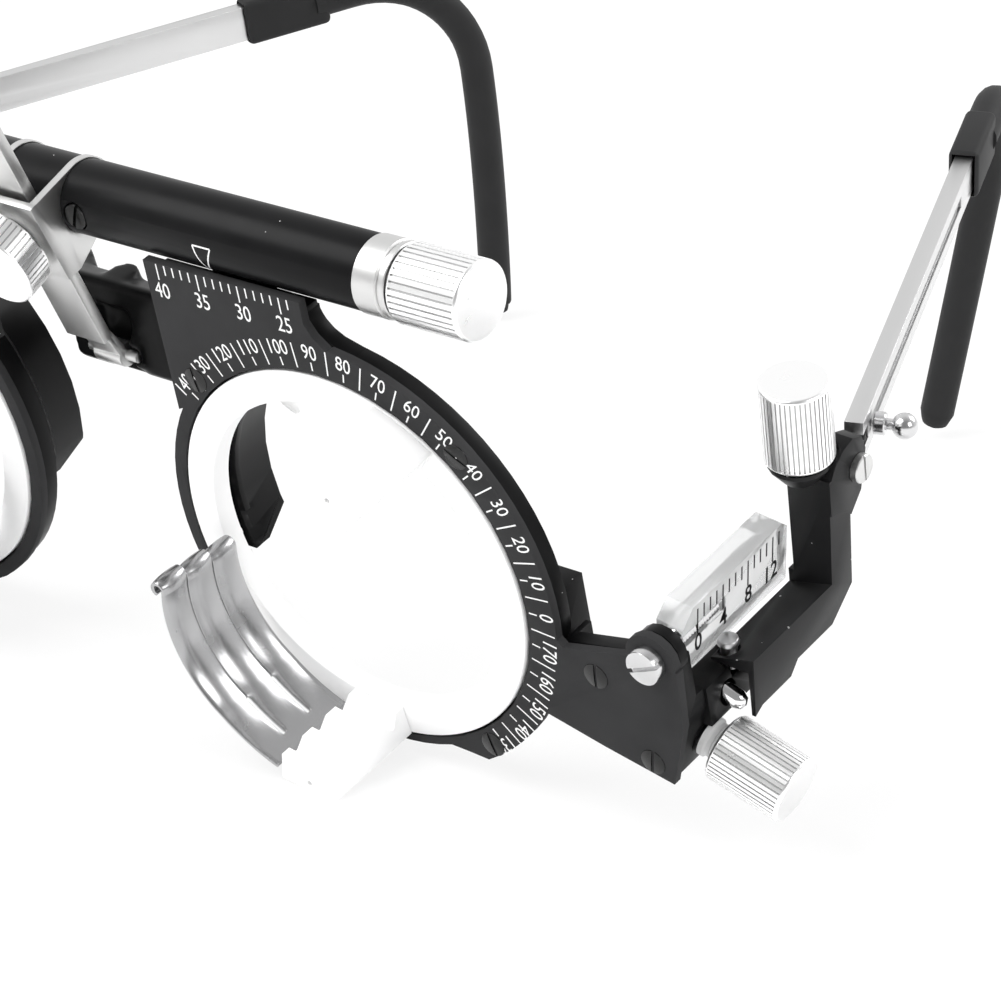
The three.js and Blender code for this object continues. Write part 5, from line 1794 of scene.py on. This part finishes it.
@dataclass
class Temple:
    """The slotted channel, the rod inside it, the ball screw and the ear hook."""

    clamp_along: float = 2.5
    face: float = 1.2
    ball: float = 1.25
    collar: float = 1.1
    collar_length: float = 1.1
    neck: float = 0.55
    neck_length: float = 0.6
    shank: float = 0.35
    shank_length: float = 1.5
    edge: float = 0.12
    sleeve_from: float = 52.3
    sleeve_to: float = 62.6
    sleeve_width: float = 3.2
    sleeve_height: float = 5.2
    socket_to: float = 59.2
    socket_half: tuple[float, float] = (1.2, 2.3)
    hook_from: float = 61.0
    bend_from: float = 66.0
    bend: float = 14.0
    drop: float = 31.0
    toe: float = 1.8
    hook_radius: float = 1.95

    def ball_screw(self) -> bpy.types.Object:
        """Turns the ball-headed clamp screw.

        Returns:
            The mesh.
        """
        neck_end = self.collar_length + self.neck_length
        middle = neck_end + math.sqrt(self.ball ** 2 - self.neck ** 2)
        shank, low, edge = self.shank, -self.shank_length, self.edge
        collar, length = self.collar, self.collar_length
        profile = [(0, low), (shank, low), (shank, 0), (collar - edge, 0), (collar, edge),
                   (collar, length - edge), (collar - edge, length), (self.neck, length),
                   (self.neck, neck_end)]
        start = -math.degrees(math.acos(self.neck / self.ball))
        for i in range(1, 17):
            angle = math.radians(start + (90 - start) * i / 16)
            profile.append((self.ball * math.cos(angle), middle + self.ball * math.sin(angle)))
        profile[-1] = (0, middle + self.ball)
        screw = Bench.turned(profile, (self.face, self.clamp_along, 0), RIGHT, sides=48)
        return Bench.smooth(screw, angle=40)

    def hook(self, roll: float) -> bpy.types.Object:
        """Sweeps the ear hook and joins its sleeve.

        Args:
            roll: How far the hook rolls about the bar, in degrees.

        Returns:
            The mesh, in the hook's own axes.
        """
        Bench.clear()
        curve = bpy.data.curves.new("hook", "CURVE")
        curve.dimensions = "3D"
        curve.bevel_depth = self.hook_radius
        curve.bevel_resolution = 6
        curve.resolution_u = 16
        curve.use_fill_caps = True
        start, bend, toe = self.bend_from, self.bend, self.toe
        end, low = start + bend, -bend - self.drop
        knots = [
            ((self.hook_from, 0), (self.hook_from - 2, 0), (self.hook_from + 2, 0), 1.0),
            ((start, 0), (start - 2, 0), (start + bend * 0.55, 0), 1.0),
            ((end, -bend), (end, -bend * 0.45), (end, -bend - self.drop * 0.33), 1.0),
            ((end - toe, low + 0.4), (end - toe * 0.5, -bend - self.drop * 0.7),
             (end - toe * 1.1, low), 1.0),
            ((end - toe * 1.05, low - 1.0), (end - toe * 1.03, low - 0.5),
             (end - toe * 1.07, low - 1.2), 0.74),
            ((end - toe * 1.08, low - 1.5), (end - toe * 1.08, low - 1.4),
             (end - toe * 1.08, low - 1.6), 0.2),
        ]
        spline = curve.splines.new("BEZIER")
        spline.bezier_points.add(len(knots) - 1)
        for point, (co, left, right, radius) in zip(spline.bezier_points, knots):
            point.co = (0, *co)
            point.handle_left = (0, *left)
            point.handle_right = (0, *right)
            point.radius = radius
        tail = bpy.data.objects.new("hook", curve)
        bpy.context.collection.objects.link(tail)
        Bench.pick(tail)
        bpy.ops.object.convert(target="MESH")
        tail = Bench.tidy(bpy.context.object)
        half = self.sleeve_width / 2
        sleeve = Bench.block((-half, self.sleeve_from, -self.sleeve_height / 2),
                             (half, self.sleeve_to, self.sleeve_height / 2))
        Bench.soften(sleeve, width=0.7, segments=4)
        x, z = self.socket_half
        Bench.carve(sleeve, Bench.block((-x, self.sleeve_from - 2, -z), (x, self.socket_to, z)))
        sleeve.matrix_world = Matrix.Rotation(math.radians(-roll), 4, "Y")
        Bench.apply_place(sleeve)
        return Bench.smooth(Bench.merge(tail, sleeve), angle=35)

    def dress(self, dresser: Dresser, layout: Layout, side: Side) -> None:
        """Finishes one side's temple.

        Args:
            dresser: Settles the pieces.
            layout: The axes.
            side: Which side.
        """
        place = layout.temple(side)
        dresser.refine(side.node("temple_bar"), Shade.CHANNEL, width=0.12)
        dresser.keep(side.node("temple_core"), Shade.STEEL)
        dresser.settle(self.ball_screw(), side.node("ball_screw"), Shade.TURNED, place,
                       stands_for=side.node("clamp_screw"))
        dresser.settle(self.hook(layout.hook_roll[side]), side.node("ear_tip"), Shade.TIP,
                       layout.hook(side), stands_for=side.node("ear_hook"))


# The bridge


@dataclass
class Crossbar:
    """The slotted tube with its pointers, screws, collars and knobs."""

    depth: float = 4.0
    height: float = 30.6
    radius: float = 3.6
    wall: float = 0.7
    half_length: float = 39.9
    slot_half: float = 1.1
    slot_inner: float = 11.2
    slot_outer: float = 36.4
    screw_place: float = 6.0
    screw_radius: float = 1.3
    screw_thickness: float = 1.5
    screw_room: float = 0.15
    collar_radius: float = 3.72
    collar_length: float = 3.7
    collar_bore: float = 1.5
    collar_plug: float = 3.9
    knob_start: float = 43.9
    knob: Knob = field(default_factory=lambda: Knob(3.8, 8.0, 38))
    pointer: tuple[tuple[float, float], ...] = ((20.9, 8.0), (23.05, 8.0), (21.65, -43.0))
    pointer_line: float = 0.17
    ink: float = 0.012

    def tube(self) -> bpy.types.Object:
        """Models the tube with its slots and screw holes.

        Returns:
            The mesh.
        """
        start = (-self.half_length, self.depth, self.height)
        length = 2 * self.half_length
        tube = Bench.rod(start, RIGHT, length, self.radius, sides=96)
        bore = Bench.rod((-self.half_length - 2, self.depth, self.height), RIGHT, length + 4,
                         self.radius - self.wall, sides=96)
        Bench.carve(tube, bore)
        for sign in (1, -1):
            low, high = sorted((sign * self.slot_inner, sign * self.slot_outer))
            slot = Bench.block((low, self.depth - self.slot_half, self.height - self.radius - 2),
                               (high, self.depth + self.slot_half, self.height))
            hole_at = (sign * self.screw_place, self.depth - self.radius - 2, self.height)
            hole = Bench.rod(hole_at, BACK, self.radius + 2,
                             self.screw_radius + self.screw_room, sides=40)
            Bench.carve(tube, slot, hole)
        return Bench.soften(tube, width=0.12)

    def pointers(self) -> bpy.types.Object:
        """Prints the white triangle above each distance scale.

        Returns:
            The mesh.
        """
        lines = []
        reach = self.radius + self.ink
        for sign in (1, -1):
            corners = [Vector((sign * x, angle)) for x, angle in self.pointer]
            for a, b in zip(corners, corners[1:] + corners[:1]):
                run = b - a
                flat = Vector((run.x, run.y * reach * math.pi / 180)).normalized()
                across = Vector((-flat.y, flat.x / (reach * math.pi / 180)))
                across *= self.pointer_line / 2
                Bench.clear()
                bpy.ops.mesh.primitive_grid_add(x_subdivisions=8, y_subdivisions=1, size=1)
                line = bpy.context.object
                for vertex in line.data.vertices:
                    spot = a + run * (vertex.co.x + 0.5) + across * vertex.co.y * 2
                    angle = math.radians(spot.y)
                    vertex.co = (spot.x, self.depth - reach * math.cos(angle),
                                 self.height + reach * math.sin(angle))
                lines.append(line)
        return Bench.merge(*lines)

    def collar(self) -> bpy.types.Object:
        """Turns the ferrule.

        Returns:
            The mesh.
        """
        r, length = self.collar_radius, self.collar_length
        bore, low, plug = self.collar_bore, -self.collar_plug, self.radius - self.wall - 0.05
        collar = Bench.turned([
            (bore, low), (plug, low), (plug, 0), (r - 0.15, 0), (r, 0.15), (r, length - 1.0),
            (r - 0.1, length - 0.9), (r - 0.25, length - 0.85), (r - 0.25, length - 0.7),
            (r - 0.1, length - 0.6), (r - 0.1, length - 0.1), (r - 0.2, length),
            (bore, length), (bore, low),
        ], (self.half_length + 0.02, self.depth, self.height), RIGHT, sides=72)
        return Bench.smooth(collar, angle=30)

    def dress(self, dresser: Dresser, layout: Layout) -> None:
        """Finishes the tube and both its ends.

        Args:
            dresser: Settles the pieces.
            layout: The axes.
        """
        dresser.settle(self.tube(), "brow_tube", Shade.ANODISED, layout.bridge,
                       stands_for="crossbar_tube")
        dresser.settle(self.pointers(), "tube_pointers", Shade.WHITE_INK, layout.bridge,
                       body="crossbar")
        dresser.keep("centre_plug", Shade.STEEL)
        screw = SlottedScrew(self.screw_radius, self.screw_thickness, slot_width=0.35,
                             slot_depth=0.4, slot_turn=70, crown=0.12)
        foot = (self.screw_place, self.depth - self.radius + self.screw_thickness, self.height)
        for side in Side:
            half = layout.half(side)
            dresser.settle(screw.build(foot, FRONT), side.node("plug_screw"),
                           Shade.BLACK_SCREW, half, stands_for=side.node("tube_screw"))
            dresser.settle(self.collar(), side.node("ferrule"), Shade.NICKEL, half,
                           stands_for=side.node("pd_collar"))
            grip = self.knob.build((self.knob_start, self.depth, self.height), RIGHT)
            dresser.settle(grip, side.node("distance_grip"), Shade.KNOB, half,
                           stands_for=side.node("pd_knob"))
            dresser.keep(side.node("lead_screw"), Shade.STEEL)


@dataclass
class NoseRest:
    """The folded bracket, the sliding bar, its clamp knob, and the saddle with its pads."""

    half_width: float = 4.3
    sheet: float = 0.8
    crown: float = 3.8
    tube: tuple[float, float, float] = (4.0, 30.6, 3.63)
    front_top: tuple[float, float] = (-3.2, 33.0)
    front_low: tuple[float, float] = (-0.7, 23.9)
    back_low: tuple[float, float] = (1.1, 24.2)
    clamp_knob: Knob = field(default_factory=lambda: Knob(4.7, 3.3, 52, bevel=0.3))
    stand_off: float = 1.0
    hub_from: float = 0.3

    def bracket(self) -> bpy.types.Object:
        """Folds the bracket: two cheeks that the tube passes through and a front plate.

        Returns:
            The mesh.
        """
        y, z, radius = self.tube
        outline = hull([*arc((y, z), self.crown, 0, 360, 64),
                        self.front_top, self.front_low, self.back_low])
        hole = arc((y, z), radius, 0, 360, 64)[:-1]
        outer, inner = self.half_width, self.half_width - self.sheet
        cheeks = [Bench.flat([outline, hole], low, high, Facing.SIDE)
                  for low, high in ((-outer, -inner), (inner, outer))]
        top, low = Vector(self.front_top), Vector(self.front_low)
        run = (low - top).normalized()
        back = Vector((-run.y, run.x)) * self.sheet
        corners = [tuple(corner) for corner in (top, low, low + back, top + back)]
        front = Bench.flat([corners], -outer, outer, Facing.SIDE)
        return Bench.soften(Bench.unite(front, *cheeks), width=0.1, angle=40)

    def dress(self, dresser: Dresser, layout: Layout) -> None:
        """Finishes the bridge's middle.

        Args:
            dresser: Settles the pieces.
            layout: The axes.
        """
        dresser.settle(self.bracket(), "folded_bracket", Shade.NICKEL, layout.bridge,
                       stands_for="bridge_bracket")
        dresser.refine("nose_bar", Shade.NICKEL, width=0.18)
        joint = layout.joints["nose_clamp_turn"]
        centre = layout.bridge.matrix.inverted() @ Vector(joint["pos_m"])
        out = layout.bridge.inward(joint["axis"])
        grip = self.clamp_knob.build(centre + out * self.stand_off, out)
        hub = Bench.rod(centre + out * self.hub_from, out, self.stand_off,
                        self.clamp_knob.radius / 2)
        dresser.settle(Bench.merge(grip, hub), "clamp_grip", Shade.KNOB, layout.bridge,
                       stands_for="nose_clamp_knob")
        dresser.keep("nose_clamp_screw", Shade.STEEL)
        dresser.refine("nose_saddle", Shade.SMOOTH_MOULDED, melt=1.0)
        for side in Side:
            dresser.refine(side.node("nose_pad"), Shade.SILICONE, width=0.2, angle=60)


# Studio


@dataclass(frozen=True)
class Lamp:
    """A square soft lamp: its name, place, width and power in metres and watts."""

    name: str
    at: tuple[float, float, float]
    size: float
    power: float


@dataclass(frozen=True)
class Studio:
    """A pale floor, soft lamps and the camera at the photograph's viewing angle."""

    lens: float = 144.1
    sensor: float = 36.0
    nearest: float = 0.01
    camera_at: tuple[float, float, float] = (0.256591, -0.302181, 0.177759)
    forward: tuple[float, float, float] = (-0.57313, 0.71421, -0.40178)
    right: tuple[float, float, float] = (0.78398, 0.62060, -0.01517)
    floor_size: float = 6.0
    floor_grey: float = 0.9
    floor_roughness: float = 0.9
    floor_glow: float = 0.8
    strength: float = 0.75
    low_grey: float = 0.55
    white_from: float = 0.75
    backdrop: float = 1.34
    viewer_grey: float = 0.1
    viewer_range: tuple[tuple[str, float], ...] = (
        ("From Min", -0.1), ("From Max", 0.85), ("To Min", 0.0), ("To Max", 0.72),
    )
    lamps: tuple[Lamp, ...] = (
        Lamp("key", (-0.3, -0.5, 0.7), 0.6, 6.5),
        Lamp("back", (0.35, 0.7, 0.6), 0.5, 4.0),
        Lamp("side", (0.8, -0.1, 0.45), 0.35, 2.2),
    )
    aim: tuple[float, float, float] = (0, 0, 0.03)

    def camera(self) -> None:
        """Sets the camera."""
        data = bpy.data.cameras.new("camera")
        data.lens = self.lens
        data.sensor_width = self.sensor
        data.clip_start = self.nearest
        camera = bpy.data.objects.new("camera", data)
        bpy.context.scene.collection.objects.link(camera)
        ahead, across = Vector(self.forward).normalized(), Vector(self.right).normalized()
        up = across.cross(ahead)
        turn = Matrix((across, up, -ahead)).transposed().to_4x4()
        camera.matrix_world = Matrix.Translation(self.camera_at) @ turn
        bpy.context.scene.camera = camera

    def floor(self) -> None:
        """Lays a floor that the camera sees as white, with soft shadows."""
        Bench.clear()
        bpy.ops.mesh.primitive_plane_add(size=self.floor_size, location=ORIGIN)
        floor = bpy.context.object
        floor.name = "floor"
        material = bpy.data.materials.new("white sweep")
        material.use_nodes = True
        tree = material.node_tree
        shader = tree.nodes["Principled BSDF"]
        shader.inputs["Base Color"].default_value = (*3 * [self.floor_grey], 1)
        shader.inputs["Roughness"].default_value = self.floor_roughness
        shader.inputs["Specular IOR Level"].default_value = 0
        glow = tree.nodes.new("ShaderNodeEmission")
        glow.inputs["Strength"].default_value = 1
        mix = tree.nodes.new("ShaderNodeMixShader")
        light = tree.nodes.new("ShaderNodeLightPath")
        seen = tree.nodes.new("ShaderNodeMath")
        seen.operation = "MAXIMUM"
        tree.links.new(light.outputs["Is Camera Ray"], seen.inputs[0])
        tree.links.new(light.outputs["Is Transmission Ray"], seen.inputs[1])
        share = tree.nodes.new("ShaderNodeMath")
        share.operation = "MULTIPLY"
        share.inputs[1].default_value = self.floor_glow
        tree.links.new(seen.outputs[0], share.inputs[0])
        tree.links.new(share.outputs[0], mix.inputs["Fac"])
        tree.links.new(shader.outputs[0], mix.inputs[1])
        tree.links.new(glow.outputs[0], mix.inputs[2])
        tree.links.new(mix.outputs[0], tree.nodes["Material Output"].inputs["Surface"])
        floor.data.materials.append(material)

    def world(self) -> None:
        """Surrounds the object with light that falls off towards the viewer."""
        world = bpy.data.worlds.new("studio")
        world.use_nodes = True
        bpy.context.scene.world = world
        tree = world.node_tree
        background = tree.nodes["Background"]
        background.inputs["Strength"].default_value = self.strength
        where = tree.nodes.new("ShaderNodeTexCoord")
        split = tree.nodes.new("ShaderNodeSeparateXYZ")
        tree.links.new(where.outputs["Generated"], split.inputs[0])
        ramp = tree.nodes.new("ShaderNodeValToRGB")
        low, high = ramp.color_ramp.elements
        low.position, low.color = 0.0, (*3 * [self.low_grey], 1)
        high.position, high.color = self.white_from, (1, 1, 1, 1)
        tree.links.new(split.outputs["Z"], ramp.inputs[0])
        white = tree.nodes.new("ShaderNodeMix")
        white.data_type = "RGBA"
        white.inputs["B"].default_value = (*3 * [self.backdrop], 1)
        light = tree.nodes.new("ShaderNodeLightPath")
        tree.links.new(light.outputs["Is Camera Ray"], white.inputs["Factor"])
        toward = tree.nodes.new("ShaderNodeVectorMath")
        toward.operation = "DOT_PRODUCT"
        toward.inputs[1].default_value = -Vector(self.forward).normalized()
        tree.links.new(where.outputs["Generated"], toward.inputs[0])
        room = tree.nodes.new("ShaderNodeMapRange")
        for label, value in self.viewer_range:
            room.inputs[label].default_value = value
        tree.links.new(toward.outputs["Value"], room.inputs["Value"])
        mirror = tree.nodes.new("ShaderNodeMix")
        mirror.data_type = "RGBA"
        mirror.inputs["A"].default_value = (*3 * [self.backdrop], 1)
        mirror.inputs["B"].default_value = (*3 * [self.viewer_grey], 1)
        tree.links.new(room.outputs["Result"], mirror.inputs["Factor"])
        seen = tree.nodes.new("ShaderNodeMix")
        seen.data_type = "RGBA"
        tree.links.new(light.outputs["Is Glossy Ray"], seen.inputs["Factor"])
        tree.links.new(ramp.outputs["Color"], seen.inputs["A"])
        tree.links.new(mirror.outputs["Result"], seen.inputs["B"])
        tree.links.new(seen.outputs["Result"], white.inputs["A"])
        tree.links.new(white.outputs["Result"], background.inputs["Color"])

    def hang(self, lamp: Lamp) -> None:
        """Hangs a lamp that faces the object.

        Args:
            lamp: The lamp.
        """
        data = bpy.data.lights.new(lamp.name, "AREA")
        data.size = lamp.size
        data.energy = lamp.power
        light = bpy.data.objects.new(lamp.name, data)
        bpy.context.scene.collection.objects.link(light)
        aim = (Vector(self.aim) - Vector(lamp.at)).to_track_quat("-Z", "Y")
        light.matrix_world = Matrix.Translation(lamp.at) @ aim.to_matrix().to_4x4()

    def build(self) -> None:
        """Builds the whole studio."""
        self.camera()
        self.floor()
        self.world()
        for lamp in self.lamps:
            self.hang(lamp)
        bpy.context.scene.view_settings.view_transform = "Standard"


def main() -> None:
    """Dresses every sub-assembly in turn and reports each piece."""
    logging.basicConfig(level=logging.INFO, format="%(name)s %(message)s")
    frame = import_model()
    Studio().build()
    layout = Layout(frame)
    dresser = Dresser(frame)
    Crossbar().dress(dresser, layout)
    NoseRest().dress(dresser, layout)
    for side in Side:
        for part in (ScalePlate(), CellHousing(), LensRing(), LensSpring(), AxisDrive(),
                     VertexScale(), TempleBracket(), Temple()):
            part.dress(dresser, layout, side)
    LOG.info("%d pieces", dresser.count)


if __name__ == "__main__":
    main()
